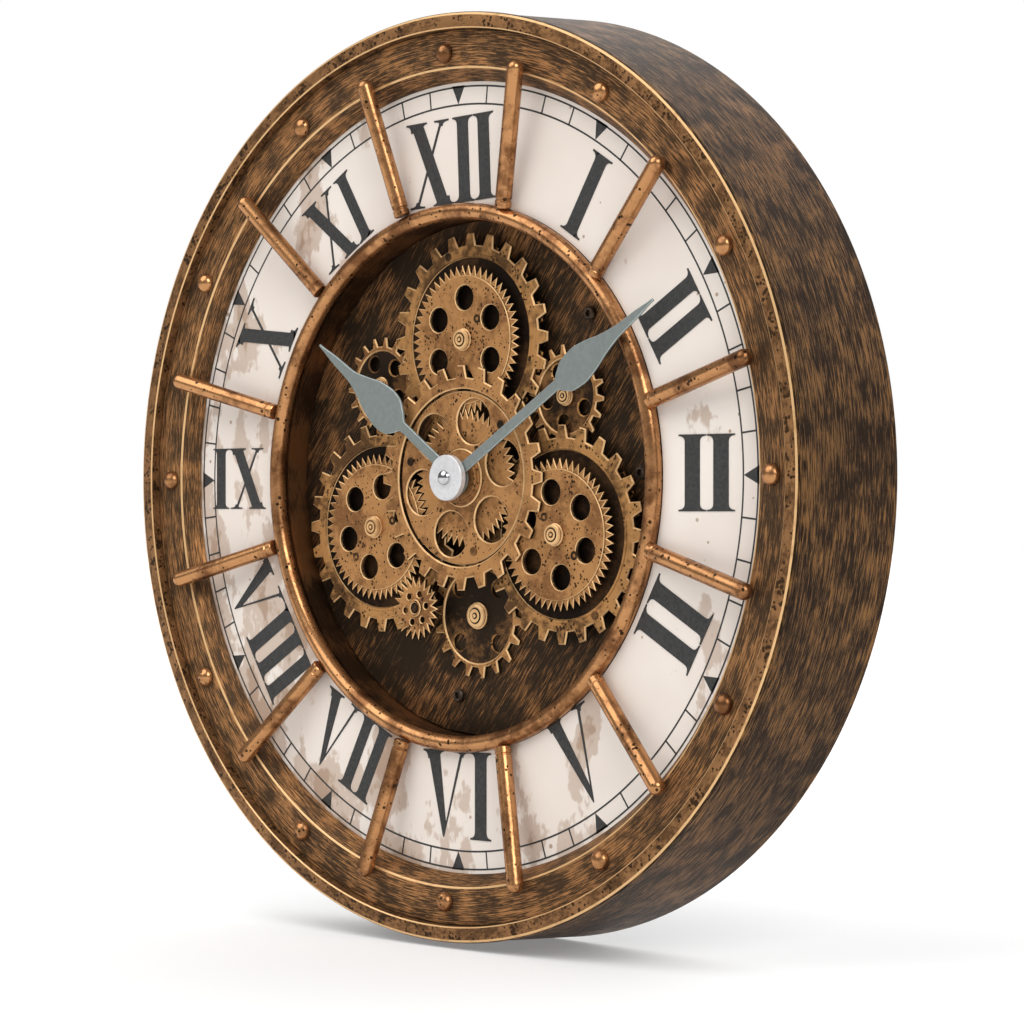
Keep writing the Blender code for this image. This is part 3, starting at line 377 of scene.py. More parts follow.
def dial_finish():
    material, tree, shader = new_finish("stained cream")
    where = add(tree, "ShaderNodeTexCoord").outputs["Object"]
    parts = add(tree, "ShaderNodeSeparateXYZ", {0: where}).outputs
    lean = times(tree, plus(tree, parts["X"], parts["Z"]), -0.45)
    wide = plain_grain(tree)
    runs = noise(tree, plain_grain(tree, (1.0, 1.0, 0.45)), 60.0, 5.0, 0.6)
    blots = noise(tree, wide, 24.0, 5.0, 0.6)
    stain = plus(tree, times(tree, plus(tree, runs, blots), 0.5), lean)
    paper = mixed(tree, steps(tree, noise(tree, wide, 14.0, 3.0), 0.35, 0.7), *PAPER)
    colour = mixed(tree, steps(tree, stain, 0.53, 0.555), paper, PALE_STAIN)
    colour = mixed(tree, steps(tree, stain, 0.585, 0.62), colour, DEEP_STAIN)
    cells = add(tree, "ShaderNodeTexVoronoi", {"Vector": wide, "Scale": 160.0}).outputs["Distance"]
    room = times(tree, minus(tree, noise(tree, wide, 40.0, 2.0), 0.5), 0.8)
    colour = mixed(tree, steps(tree, minus(tree, room, cells), -0.02, 0.03), colour, SPECKS)
    tree.links.new(colour, shader.inputs["Base Color"])
    tree.links.new(steps(tree, stain, 0.4, 0.7, 0.42, 0.62), shader.inputs["Roughness"])
    relief(tree, shader, blots, 0.00005)
    return material


CREAM = dial_finish()
print("dial finish:", len(CREAM.node_tree.nodes), "nodes")

# %% [markdown]
# A quiet surface has two close colours, a little relief and a little change of gloss, all from one noise. Its
# values are the two colours, the noise's scale, the gloss from and to, the relief in metres and how metallic
# it is.

# %% Ink, hands and small finishes
def plain_finish(name, light, dark, scale, gloss, depth, metallic=0.0):
    material, tree, shader = new_finish(name, Metallic=metallic)
    pattern = noise(tree, plain_grain(tree), scale, 4.0)
    tree.links.new(mixed(tree, steps(tree, pattern, 0.35, 0.65), light, dark), shader.inputs["Base Color"])
    tree.links.new(steps(tree, pattern, 0.2, 0.8, *gloss), shader.inputs["Roughness"])
    relief(tree, shader, pattern, depth)
    return material


INK = plain_finish("charcoal ink", (0.030, 0.029, 0.028), (0.018, 0.018, 0.018), 900.0, (0.5, 0.7), 0.00002)
SLATE = plain_finish("slate grey", (0.195, 0.220, 0.208), (0.172, 0.196, 0.186), 500.0, (0.42, 0.55),
                     0.00001, 0.2)
# Lighter grey for the hands' chamfers: a painted highlight.
SLATE_HIGHLIGHT = plain_finish("slate painted highlight", (0.42, 0.48, 0.47), (0.34, 0.40, 0.39), 500.0, (0.35, 0.48),
                          0.00001, 0.3)
SILVER = plain_finish("brushed silver", (0.74, 0.74, 0.75), (0.66, 0.66, 0.67), 700.0, (0.3, 0.42),
                      0.00001, 0.4)
CHROME = plain_finish("chrome", (0.58, 0.58, 0.59), (0.50, 0.50, 0.51), 400.0, (0.08, 0.16), 0.000005, 1.0)
DARK_STEEL = plain_finish("dark steel", (0.10, 0.065, 0.042), (0.03, 0.022, 0.016), 600.0, (0.35, 0.5),
                          0.00003, 0.8)
STEEL = plain_finish("zinc plate", (0.50, 0.50, 0.49), (0.40, 0.40, 0.40), 260.0, (0.28, 0.45), 0.00002, 0.95)
BOARD = plain_finish("back board", (0.036, 0.030, 0.026), (0.020, 0.017, 0.015), 1100.0, (0.55, 0.72),
                     0.00003)
BLACK = plain_finish("black plastic", (0.024, 0.024, 0.025), (0.016, 0.016, 0.017), 1500.0, (0.42, 0.55),
                     0.00004)
GREY = plain_finish("grey plastic", (0.25, 0.25, 0.25), (0.20, 0.20, 0.20), 1400.0, (0.4, 0.55), 0.00004)
SLEEVE = plain_finish("battery sleeve", (0.05, 0.17, 0.10), (0.04, 0.13, 0.08), 80.0, (0.25, 0.35),
                      0.00001, 0.2)
print("materials with all finishes:", len(bpy.data.materials))

# %% [markdown]
# ## Turned parts
#
# Drum, rim, flange, well, ring, rivets and cap are all bodies of revolution, as a lathe makes them. A profile
# is a list of radius and height, and one function turns it. A Screw modifier would do as well, but it leaves
# a bundle of doubled points on the axis, where this function makes a single one.

# %% Turning
def mesh_from(bm):
    """The merged mesh with its faces outwards."""
    bmesh.ops.remove_doubles(bm, verts=bm.verts, dist=1e-6)
    bmesh.ops.recalc_face_normals(bm, faces=bm.faces)
    mesh = bpy.data.meshes.new("draft")
    bm.to_mesh(mesh)
    bm.free()
    return mesh


def turned(profile, count, closed=True):
    """Turns a profile of (radius, height) round z. A radius of 0 is a pole, where an open profile ends."""
    bm = bmesh.new()
    rings = []
    for radius, height in profile:
        if radius < 1e-7:
            rings.append([bm.verts.new((0.0, 0.0, height))] * count)
        else:
            points = [polar(radius, 360.0 * i / count) for i in range(count)]
            rings.append([bm.verts.new((x, y, height)) for x, y in points])
    after = rings[1:] + rings[:1] if closed else rings[1:]
    for lower, upper in zip(rings, after):
        for i in range(count):
            j = (i + 1) % count
            corners = list(dict.fromkeys((lower[i], lower[j], upper[j], upper[i])))
            bm.faces.new(corners)
    return mesh_from(bm)


def in_mm(*points):
    """Profile points in metres, from millimetres."""
    return [(radius * MM, height * MM) for radius, height in points]


print("a profile point of 150 and 45 mm:", in_mm((150.0, 45.0))[0])

# %% [markdown]
# A few small tools handle lying meshes: they merge doubled points, turn faces outwards, join meshes into one,
# and move a mesh to its axis and its clock turn.

# %% Cleaning, joining and placing
def outwards(mesh):
    """Turns a closed mesh over if its faces look inwards."""
    bm = bmesh.new()
    bm.from_mesh(mesh)
    if bm.calc_volume(signed=True) < 0.0:
        bmesh.ops.reverse_faces(bm, faces=bm.faces)
    bm.to_mesh(mesh)
    bm.free()
    return mesh


def cleaned(mesh):
    """Merges doubled points and turns every face outwards."""
    bm = bmesh.new()
    bm.from_mesh(mesh)
    return mesh_from(bm)


def joined(*meshes):
    """Several meshes as one."""
    bm = bmesh.new()
    for mesh in meshes:
        bm.from_mesh(mesh)
    return mesh_from(bm)


def placed(mesh, centre=(0.0, 0.0), height=0.0, turn=0.0):
    """Moves a lying mesh to its axis and clock turn."""
    mesh.transform(Matrix.Translation((*centre, height)) @ Matrix.Rotation(-math.radians(turn), 4, "Z"))
    return mesh


print("a quarter turn stands a mesh up:", tuple(round(value) for value in STAND @ Vector((0.0, 1.0, 0.0))))

# %% [markdown]
# Flat pieces get chamfered front edges, because that is where metal is rubbed bright; their lighter finish
# there is partly a painted highlight, and on the gears the walls take a darker finish that is painted shade
# between the layers. A Bevel modifier gives up where a face is cut into thin triangles, so the chamfer is
# made by hand: a new row of points is cut into the walls, and the front edge then moves inwards by the
# chamfer's width.

# %% Chamfers
def edged(mesh, width):
    """Chamfers the front edges of a flat piece. The chamfer takes the second finish and the walls the third;
    on the gears and hands the chamfer's finish is lighter, partly as a painted highlight, and on the gears
    the walls' finish is darker, as painted shade.
    """
    bm = bmesh.new()
    bm.from_mesh(mesh)
    bm.normal_update()
    top = max(vertex.co.z for vertex in bm.verts)
    walls = [face for face in bm.faces if abs(face.normal.z) < 0.5]
    below = {}
    inwards = {}
    for vertex in dict.fromkeys(v for face in walls for v in face.verts if v.co.z > top - 1e-6):
        first, second = [face.normal.copy() for face in vertex.link_faces if abs(face.normal.z) < 0.5]
        inwards[vertex] = -(first + second) * width / (1.0 + first.dot(second))
    for vertex in inwards:
        upright = next(edge for edge in vertex.link_edges if edge.other_vert(vertex).co.z < top - 1e-5)
        height = top - upright.other_vert(vertex).co.z
        below[vertex] = bmesh.utils.edge_split(upright, vertex, width / height)[1]
    for face in walls:
        bmesh.utils.face_split(face, *[below[vertex] for vertex in face.verts if vertex in below])
    # Fronts take finish 0, the chamfer band finish 1 (lighter, partly a painted highlight) and the walls
    # finish 2 (darker on the gears: painted shade).
    for face in bm.faces:
        if abs(face.normal.z) > 0.5:
            face.material_index = 0
        elif min(vertex.co.z for vertex in face.verts) > top - 1.5 * width:
            face.material_index = 1
        else:
            face.material_index = 2
    for vertex, shift in inwards.items():
        vertex.co += shift
    return outwards(mesh_from(bm))


print("flat pieces take their finishes in the order front, chamfer, wall")

# %% [markdown]
# Every finished piece goes through one door at the end: the mesh is stood up, its object stays at the origin,
# and the piece rides on its body.

# %% Hanging a piece
def hang(name, mesh, body, finishes, nodes=(), smooth=35.0):
    """Stands a lying mesh up as a named piece that rides on a body and stands for CAD nodes."""
    mesh.name = name
    indices = [0] * len(mesh.polygons)
    mesh.polygons.foreach_get("material_index", indices)
    mesh.materials.clear()
    for finish in finishes:
        mesh.materials.append(finish)
    mesh.polygons.foreach_set("material_index", [min(i, len(finishes) - 1) for i in indices])
    mesh.transform(STAND)
    mesh.shade_smooth()
    mesh.set_sharp_from_angle(angle=math.radians(smooth))
    obj = bpy.data.objects.new(name, mesh)
    bpy.context.scene.collection.objects.link(obj)
    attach(obj, body)
    if nodes:
        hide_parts(*nodes)
    return obj


# %% [markdown]
# ## The case
#
# The drum is one deep sheet-metal ring. It flares a little towards the wall and carries an inner shelf under
# the dial and a lip before the rear panel. The rim is a heavier ring with a broad flat front. The small steps
# at both edges of that front take the bright edge finish, partly rubbed wear and partly a painted highlight,
# and its side is as dark as the drum. Sizes are the CAD model's.

# %% Drum and rim
ROUND = 256
FLANGE_H = 41.6 * MM
DIAL_H = 35.7 * MM
RIM_FLAT = 145.1, 148.9
RIM_STEP_H = 44.7
RIM_SIDE_R = 149.7

drum = in_mm((149.2, 42.0), (149.7, 41.5), (151.85, 1.0), (151.9, 0.5), (151.4, 0.0), (148.9, 0.0),
             (148.75, 3.3), (141.1, 3.3), (141.1, 5.3), (148.65, 5.3), (147.3, 30.4), (137.7, 30.4),
             (137.7, 32.4), (147.2, 32.4), (146.7, 42.0))
hang("drum", turned(drum, ROUND), "case", [PATINA], ["case_drum"])

rim = in_mm((RIM_FLAT[0], 45.0), (RIM_FLAT[1], 45.0), (149.6, 44.7), (149.9, 44.2), (150.0, 43.6),
            (150.0, 42.3), (146.4, 42.3), (146.4, 37.3), (134.7, 37.3), (134.7, 39.3), (144.7, 39.3),
            (144.7, 44.65))
rim_mesh = turned(rim, ROUND)
for face in rim_mesh.polygons:
    middle = face.center.xy.length / MM
    # The steps take the bright edge finish: rubbed wear and a painted highlight.
    if face.center.z > RIM_STEP_H * MM and not RIM_FLAT[0] < middle < RIM_FLAT[1]:
        face.material_index = 1
    if middle > RIM_SIDE_R:
        face.material_index = 2
hang("rim", rim_mesh, "case", [RIM, RUBBED_EDGE_AND_HIGHLIGHT, PATINA], ["front_rim"])
print("drum and rim:", ROUND, "steps")

# %% [markdown]
# The flange lies a little behind the rim and has a skirt that leans inwards down to the dial. Its inner edge
# takes the bright edge finish, partly rubbed wear and partly a painted highlight.

# %% Flange
FLANGE_EDGE = (132.15, 41.25), (132.8, 41.6)
flange = in_mm((144.4, 41.6), (144.4, 39.6), (134.4, 39.6), (130.4, 36.0), (128.4, 36.0), *FLANGE_EDGE)
flange_mesh = turned(flange, ROUND)
for face in flange_mesh.polygons:
    middle = face.center.xy.length / MM
    # The inner edge takes the bright edge finish: rubbed wear and a painted highlight.
    if FLANGE_EDGE[0][0] < middle < FLANGE_EDGE[1][0] and face.center.z > FLANGE_EDGE[0][1] * MM:
        face.material_index = 1
hang("flange", flange_mesh, "case", [FLANGE, RUBBED_EDGE_AND_HIGHLIGHT], ["flange_ring"])
print("flange:", len(flange_mesh.polygons), "faces")

# %% [markdown]
# ## Copies round the axis
#
# Rivets, spokes and the minute track repeat round the dial. One Geometry Nodes tree does all of them: it
# makes as many points as asked, all on the axis, puts the start shape on each, and turns each copy a step
# further. The start shape is drawn at its own place at 12 o'clock, so nothing has to be moved afterwards.

# %% The tree for copies
def copies_tree():
    sockets = [("Count", "Int"), ("First turn", "Float"), ("Finish", "Material")]
    tree, given = shape_tree("copies round the axis", sockets)
    points = made(tree, "GeometryNodePoints", {"Count": given["Count"]})
    index = made(tree, "GeometryNodeInputIndex")
    share = add_sum(tree, "DIVIDE", times(tree, index, -360.0), given["Count"])
    degrees = minus(tree, share, given["First turn"])
    turn = made(tree, "ShaderNodeCombineXYZ", {"Z": add_sum(tree, "RADIANS", degrees)})
    values = {"Points": points, "Instance": given["Geometry"], "Rotation": turn}
    end_tree(tree, made(tree, "GeometryNodeInstanceOnPoints", values), given["Finish"])
    return tree


COPIES = copies_tree()


def repeated(mesh, count, first_turn, finish):
    """This many copies round the axis. The first is turned by this much."""
    return grown(mesh, COPIES, count=count, first_turn=first_turn, finish=finish)


print("tree:", COPIES.name, "with", len(COPIES.nodes), "nodes")

# %% [markdown]
# Twelve domed rivets hold the flange, one at each hour. A rivet is a turned profile too: an elliptical dome
# over a thin shank that goes through the flange and the rim's shelf. Only the one at 12 is turned, and the
# tree makes the others from it.

# %% Rivets
RIVET_CIRCLE_R = 137.2 * MM
RIVET_SEAT = 41.9 * MM
HEAD_R = 3.3 * MM
DOME = 2.6 * MM
SHANK_R = 1.2 * MM
SHANK_END = 36.7 * MM
dome = [(HEAD_R * math.sin(a), RIVET_SEAT + DOME * math.cos(a)) for a in
        (math.pi / 20 * i for i in range(10))]
rivet = turned([(0.0, RIVET_SEAT + DOME)] + dome[1:] + [(HEAD_R, RIVET_SEAT), (SHANK_R, RIVET_SEAT),
               (SHANK_R, SHANK_END), (0.0, SHANK_END)], 32, closed=False)
placed(rivet, polar(RIVET_CIRCLE_R, 0.0))
rivets = repeated(rivet, 12, 0.0, COPPER)
hang("rivets", rivets, "case", [COPPER], [f"rivet_{i:02d}" for i in range(1, 13)])
print("rivets:", len(rivets.polygons), "faces")

# %% [markdown]
# ## Dial
#
# The dial plate is a flat ring of cream lacquer. Its outer edge lies under the flange and the rim, and a
# polished tube will cover its inner edge.

# %% Dial plate
dial = in_mm((146.4, 35.7), (146.4, 32.7), (89.0, 32.7), (89.0, 35.7))
hang("dial", turned(dial, ROUND), "case", [CREAM], ["dial_plate"])
print(f"dial plate: {(dial[0][1] - dial[1][1]) / MM:.1f} mm thick")

# %% [markdown]
# The minute track is printed: two thin circles, a tick for each minute and a filled triangle for each hour.
# It is drawn as ink a few hundredths of a millimetre high, one hour's ticks and triangle first, and the
# copies tree sets the other eleven.

# %% Minute track
TRACK_IN_R = 121.2 * MM
TRACK_OUT_R = 127.0 * MM
LINE = 0.58 * MM
TRIANGLE_HALF = 2.9 * MM
INK_TOP = DIAL_H + 0.06 * MM


def prism(outline, bottom, top):
    """A flat shape with straight sides."""
    bm = bmesh.new()
    low = [bm.verts.new((x, y, bottom)) for x, y in outline]
    high = [bm.verts.new((x, y, top)) for x, y in outline]
    bm.faces.new(low)
    bm.faces.new(high)
    for i in range(len(outline)):
        j = (i + 1) % len(outline)
        bm.faces.new((low[i], low[j], high[j], high[i]))
    return mesh_from(bm)


def tick(turn):
    """A line across the track."""
    half = LINE / 2
    shape = [(-half, TRACK_IN_R), (half, TRACK_IN_R), (half, TRACK_OUT_R), (-half, TRACK_OUT_R)]
    return placed(prism(shape, DIAL_H, INK_TOP), turn=turn)


def circle(radius):
    """A thin printed circle."""
    inner, outer = radius - LINE / 2, radius + LINE / 2
    return turned([(outer, DIAL_H), (outer, INK_TOP), (inner, INK_TOP), (inner, DIAL_H)], ROUND)


point, base = TRACK_IN_R + 0.2 * MM, TRACK_OUT_R + 0.4 * MM
triangle = prism([(0.0, point), (TRIANGLE_HALF, base), (-TRIANGLE_HALF, base)], DIAL_H, INK_TOP)
hour = joined(triangle, *[tick(6.0 * i) for i in range(1, 5)])
track = joined(repeated(hour, 12, 0.0, INK), circle(TRACK_IN_R), circle(TRACK_OUT_R))
hang("minute_track", track, "case", [INK])
print("minute track:", len(track.polygons), "faces")

# %% [markdown]
# ## Numerals
#
# The Roman numerals are the old kind with heavy and hairline strokes and bracketed feet. Each letter is built
# from strokes and feet in a box 28 units high, the letters are set side by side, and the whole numeral is
# then stretched to its own height and width, set at its place and turned. Numerals 10 to 2 have their heads
# outwards, 4 to 8 inwards, and 3 and 9 stand upright. The hours 3 and 4 both read II on this clock.

# %% Letters
LETTER_H = 28.0
STEM = 5.0
HAIR = 0.95
FOOT_T = 0.55
WIDE_FOOT = 2.1, 2.4  # how far a foot reaches past its stroke, and how high its bracket is
HAIR_FOOT = 2.9, 1.5


def stroke(low, high, width):
    """A straight stroke from x = low at the bottom to x = high at the top."""
    half = width / 2
    return [(low - half, 0.0), (low + half, 0.0), (high + half, LETTER_H), (high - half, LETTER_H)]


def foot(x, width, upper, size=WIDE_FOOT):
    """A thin bar under a stroke's end, with a curved bracket on each side."""
    reach, bracket = size
    quarter = [math.pi / 2 * i / 5 for i in range(6)]
    curve = [(reach * (1.0 - math.sin(a)) ** 1.3, bracket * (1.0 - math.cos(a))) for a in quarter]
    right = [(x + width / 2 + dx, FOOT_T + dy) for dx, dy in curve]
    left = [(2 * x - px, py) for px, py in reversed(right)]
    shape = [(x - width / 2 - reach, 0.0), (x + width / 2 + reach, 0.0)] + right + left
    if upper:
        shape = [(px, LETTER_H - py) for px, py in reversed(shape)]
    return shape


def letter(sign):
    """The strokes and feet of a letter, and its width."""
    if sign == "I":
        x = STEM / 2 + WIDE_FOOT[0]
        return [stroke(x, x, STEM), foot(x, STEM, False), foot(x, STEM, True)], 2 * x
    if sign == "X":
        thin_high, thin_low, thick_high, thick_low, heavy = 16.6, 4.2, 4.8, 16.6, 5.4
        shapes = [stroke(thick_low, thick_high, heavy), stroke(thin_low, thin_high, HAIR)]
        shapes += [foot(thick_low, heavy, False), foot(thick_high, heavy, True)]
        shapes += [foot(thin_low, HAIR, False, HAIR_FOOT), foot(thin_high, HAIR, True, HAIR_FOOT)]
        return shapes, 21.4
    thick, thin, point, crotch, half = 4.8, 17.6, 9.2, 4.6, 2.6
    inner = point + (thick + half - point) * crotch / LETTER_H + 1.35
    v = [(thick - half, LETTER_H), (thick + half, LETTER_H), (inner, crotch), (thin - 0.5, LETTER_H),
         (thin + 0.5, LETTER_H), (point + 0.15, 0.0), (point - 0.15, 0.0)]
    return [v, foot(thick, 2 * half, True), foot(thin, 1.0, True, HAIR_FOOT)], 21.0


for sign in "IVX":
    print("letter", sign, "is", letter(sign)[1], "units wide")

# %% [markdown]
# Each numeral's row says where its middle lies on the dial, how far it is turned, and how high and wide it
# is. The photo was measured for these: the numerals are not all alike.

# %% Numerals
NUMERALS = {"XII": (-3.6, 103.2, -2.5, 28.0, 40.0), "I": (56.9, 88.2, 31.7, 27.4, 9.4),
            "II_at_2": (93.5, 48.6, 59.0, 24.8, 19.0), "II_at_3": (106.7, 0.8, 0.0, 23.4, 22.5),
            "II_at_4": (93.2, -45.4, 299.5, 25.2, 21.5), "V": (54.2, -88.0, 332.0, 29.9, 19.9),
            "VI": (-0.6, -103.0, 0.0, 28.4, 31.2), "VII": (-52.4, -89.3, 27.5, 26.6, 34.2),
            "VIII": (-92.5, -51.2, 58.5, 23.9, 47.0), "IX": (-108.0, 0.5, 0.0, 21.0, 27.5),
            "X": (-93.7, 49.1, 299.5, 25.5, 20.3), "XI": (-57.8, 86.4, -32.0, 25.2, 26.5)}
NUMERAL_TOP = DIAL_H + 0.22 * MM
NUMERAL_BOTTOM = DIAL_H - 0.1 * MM
LETTER_GAP = 0.35


def numeral(text, x, y, turn, height, width):
    """All strokes of one numeral as one mesh, at its place."""
    shapes = []
    pen = 0.0
    for sign in text.split("_")[0]:
        parts, advance = letter(sign)
        shapes += [[(px + pen, py) for px, py in part] for part in parts]
        pen += advance + LETTER_GAP
    pen -= LETTER_GAP
    solids = []
    for shape in shapes:
        flat = [((px / pen - 0.5) * width * MM, (py / LETTER_H - 0.5) * height * MM) for px, py in shape]
        solids.append(prism(flat, NUMERAL_BOTTOM, NUMERAL_TOP))
    return placed(joined(*solids), (x * MM, y * MM), 0.0, turn)


letters = joined(*[numeral(text, *place) for text, place in NUMERALS.items()])
print(len(NUMERALS), "numerals have", len(letters.polygons), "faces before they are cut")

# %% [markdown]
# The strokes of a letter overlap, and three numerals reach under the ring. One exact Boolean mends both: it
# cuts away what is inside the dial's opening, and as it also reads the shape's overlaps with itself, it
# leaves one clean skin.

# %% Cut and hang the numerals
def cut(mesh, cutter):
    """One exact Boolean difference that also cleans the mesh's own overlaps."""
    obj = bpy.data.objects.new("draft", mesh)
    tool = bpy.data.objects.new("tool", cutter)
    for item in (obj, tool):
        bpy.context.scene.collection.objects.link(item)
    modifier = obj.modifiers.new("cut", "BOOLEAN")
    modifier.operation = "DIFFERENCE"
    modifier.solver = "EXACT"
    modifier.use_self = True
    modifier.object = tool
    result = settled(obj)
    bpy.data.objects.remove(tool)
    return cleaned(result)


OPENING_R = 89.1 * MM
opening = turned([(0.0, 40.0 * MM), (OPENING_R, 40.0 * MM), (OPENING_R, 30.0 * MM), (0.0, 30.0 * MM)],
                 128, closed=False)
inked = cut(letters, opening)
hang("numerals", inked, "case", [INK])
print("and after that:", len(inked.polygons), "faces")

# %% [markdown]
# ## Ring and spokes
#
# A polished tube lines the dial's opening, and twelve rods run from it out over the flange.

# %% Ring
RING_R = 86.455 * MM
RING_H = 37.2 * MM
TUBE_R = 2.7 * MM
ring = [(RING_R + TUBE_R * math.sin(a), RING_H + TUBE_R * math.cos(a)) for a in
        (2 * math.pi * i / 24 for i in range(24))]
ring_mesh = turned(ring, ROUND)
hang("inner_ring_tube", ring_mesh, "case", [COPPER], ["inner_ring"])
print("ring:", len(ring_mesh.polygons), "faces")

# %% [markdown]
# A rod starts a small gap outside the tube and over the dial, and it leans outwards so that it clears the
# flange's inner edge by the same gap. Plain trigonometry gives its slope, its start and its length from that.
# Each rod has a turned groove near the ring and a round outer end.

# %% Spokes
SPOKE_R = 2.7 * MM
GAP = 0.3 * MM
FLANGE_IN_R = 132.4 * MM
OVERHANG = 3.8 * MM
LOWER = 0.02 * MM  # the CAD model's facets lie this much inside the true round
ROUNDING = [0.224 * i for i in range(1, 8)]  # seven steps of a quarter turn
start_h = DIAL_H + GAP + SPOKE_R
rise = FLANGE_H - start_h
reach = FLANGE_IN_R - (RING_R + TUBE_R + GAP)
slope = math.atan2(rise, reach) + math.asin((SPOKE_R + GAP) / math.hypot(reach, rise))
start_r = RING_R + (TUBE_R + GAP - (start_h - RING_H) * math.sin(slope)) / math.cos(slope)
length = (FLANGE_IN_R + OVERHANG - start_r) / math.cos(slope)
end = [(SPOKE_R * math.sin(a), length - SPOKE_R * (1.0 - math.cos(a))) for a in ROUNDING]
groove = in_mm((2.7, 3.0), (2.35, 2.7), (2.35, 2.4), (2.7, 2.1), (2.7, 0.3), (2.45, 0.0), (0.0, 0.0))
spoke = turned([(0.0, length)] + end + [(SPOKE_R, length - SPOKE_R)] + groove, 24, closed=False)
lean = Matrix.Rotation(slope - math.pi / 2, 4, "X")
spoke.transform(Matrix.Translation((0.0, start_r, start_h - LOWER)) @ lean)
spokes = repeated(spoke, 12, 15.0, COPPER)
hang("spokes", spokes, "case", [COPPER], [f"spoke_{i:02d}" for i in range(1, 13)])
print(f"spokes: {length / MM:.1f} mm long, leaning {math.degrees(slope):.1f} degrees")

# %% [markdown]
# ## The well
#
# Behind the opening is a deep cup. Its floor is the gear plate, whose CAD shape is right, so it stays and
# only gets a better finish.

# %% Well and floor
well = in_mm((88.7, 34.2), (88.7, 32.4), (97.1, 32.4), (97.1, 30.4), (88.7, 30.4), (88.7, 21.7), (66.0, 21.7),
             (66.0, 23.7), (84.4, 23.7), (84.4, 34.2))
hang("well", turned(well, ROUND), "case", [WELL], ["gear_well"])


def repaint(node, finish):
    """A CAD node that stays gets a better finish."""
    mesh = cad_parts[node].data
    mesh.materials.clear()
    mesh.materials.append(finish)


repaint("gear_plate", FLOOR_PLATE)
print("well done, and its floor is", FLOOR_PLATE.name)

# %% [markdown]
# Four socket screws hold the floor plate. They sit at uneven places, so their tree takes a mesh of loose
# points and puts a screw on each.

# %% Screws on the floor
def points_tree():
    tree, given = shape_tree("one at each point", [("Shape", "Object"), ("Finish", "Material")])
    shape = add(tree, "GeometryNodeObjectInfo", {"Object": given["Shape"]}).outputs["Geometry"]
    values = {"Points": given["Geometry"], "Instance": shape}
    end_tree(tree, made(tree, "GeometryNodeInstanceOnPoints", values), given["Finish"])
    return tree


AT_POINTS = points_tree()


def one_at_each(points, shape, finish):
    """Copies of a mesh at points given as (x, y, z)."""
    dots = bpy.data.meshes.new("dots")
    dots.from_pydata([Vector(point) for point in points], [], [])
    model = bpy.data.objects.new("model", shape)
    bpy.context.scene.collection.objects.link(model)
    result = grown(dots, AT_POINTS, shape=model, finish=finish)
    bpy.data.objects.remove(model)
    return result


def screw_head(radius, height, socket):
    """A cheese head with a round socket and a rounded shoulder."""
    floor_h = height * 0.35
    profile = [(0.0, floor_h), (socket * 0.8, floor_h), (socket, height), (radius * 0.8, height),
               (radius, height * 0.7), (radius, 0.0), (0.0, 0.0)]
    return turned(profile, 24, closed=False)


PLATE_H = 26.0 * MM
SCREW_CIRCLE_R = 72.0 * MM
head = screw_head(2.2 * MM, 1.7 * MM, 1.1 * MM)
screw_points = [(*polar(SCREW_CIRCLE_R, turn), PLATE_H) for turn in (44.0, 89.0, 187.0, 271.0)]
hang("plate_screws", one_at_each(screw_points, head, DARK_STEEL), "case", [DARK_STEEL],
     [f"plate_screw_{i}" for i in range(1, 5)])
print("plate screws:", len(screw_points))

# %% [markdown]
# ## Gears
#
# A gear follows a rule, so its whole shape comes from a tree. A circle of four points for each tooth is bent
# into teeth: two points of each four go to the root circle and two to the tip circle. Sharp zigzag teeth are
# the same rule with tips that have no width.

# %% The outline of a gear
def on_circle(tree, radius, degrees):
    """The point at a radius and clock turn, inside a tree."""
    angle = add_sum(tree, "RADIANS", degrees)
    x = times(tree, radius, add_sum(tree, "SINE", angle))
    y = times(tree, radius, add_sum(tree, "COSINE", angle))
    return made(tree, "ShaderNodeCombineXYZ", {"X": x, "Y": y})


def between(tree, first, second, factor):
    """The first value where the factor is 0, and the second where it is 1."""
    return plus(tree, first, times(tree, minus(tree, second, first), factor))


def teeth_curve(tree, given):
    """The closed curve of the teeth. Corners 1 and 2 of each tooth's four make its tip."""
    index = made(tree, "GeometryNodeInputIndex")
    tooth = add_sum(tree, "FLOOR", add_sum(tree, "DIVIDE", index, 4.0))
    corner = minus(tree, index, times(tree, tooth, 4.0))
    from_middle = minus(tree, corner, 1.5)
    at_tip = add_sum(tree, "LESS_THAN", add_sum(tree, "ABSOLUTE", from_middle), 1.0)
    share = between(tree, given["Root share"], given["Tip share"], at_tip)
    radius = between(tree, given["Root radius"], given["Tip radius"], at_tip)
    offset = times(tree, add_sum(tree, "SIGN", from_middle), times(tree, share, 0.5))
    pitch = add_sum(tree, "DIVIDE", 360.0, given["Teeth"])
    degrees = times(tree, plus(tree, tooth, offset), pitch)
    teeth_at = on_circle(tree, radius, plus(tree, degrees, given["First tooth"]))
    start = made(tree, "GeometryNodeMeshCircle", {"Vertices": times(tree, given["Teeth"], 4.0)})
    bent = made(tree, "GeometryNodeSetPosition", {"Geometry": start, "Position": teeth_at})
    edge = made(tree, "GeometryNodeMergeByDistance", {"Geometry": bent, "Distance": 1e-6})
    return made(tree, "GeometryNodeMeshToCurve", {"Mesh": edge})


print("teeth have four points each")

# %% [markdown]
# Circles for the holes and the bore are added to the teeth. The face between the curves is filled and pushed
# up to the gear's thickness, and a turned-over copy of it closes the back.

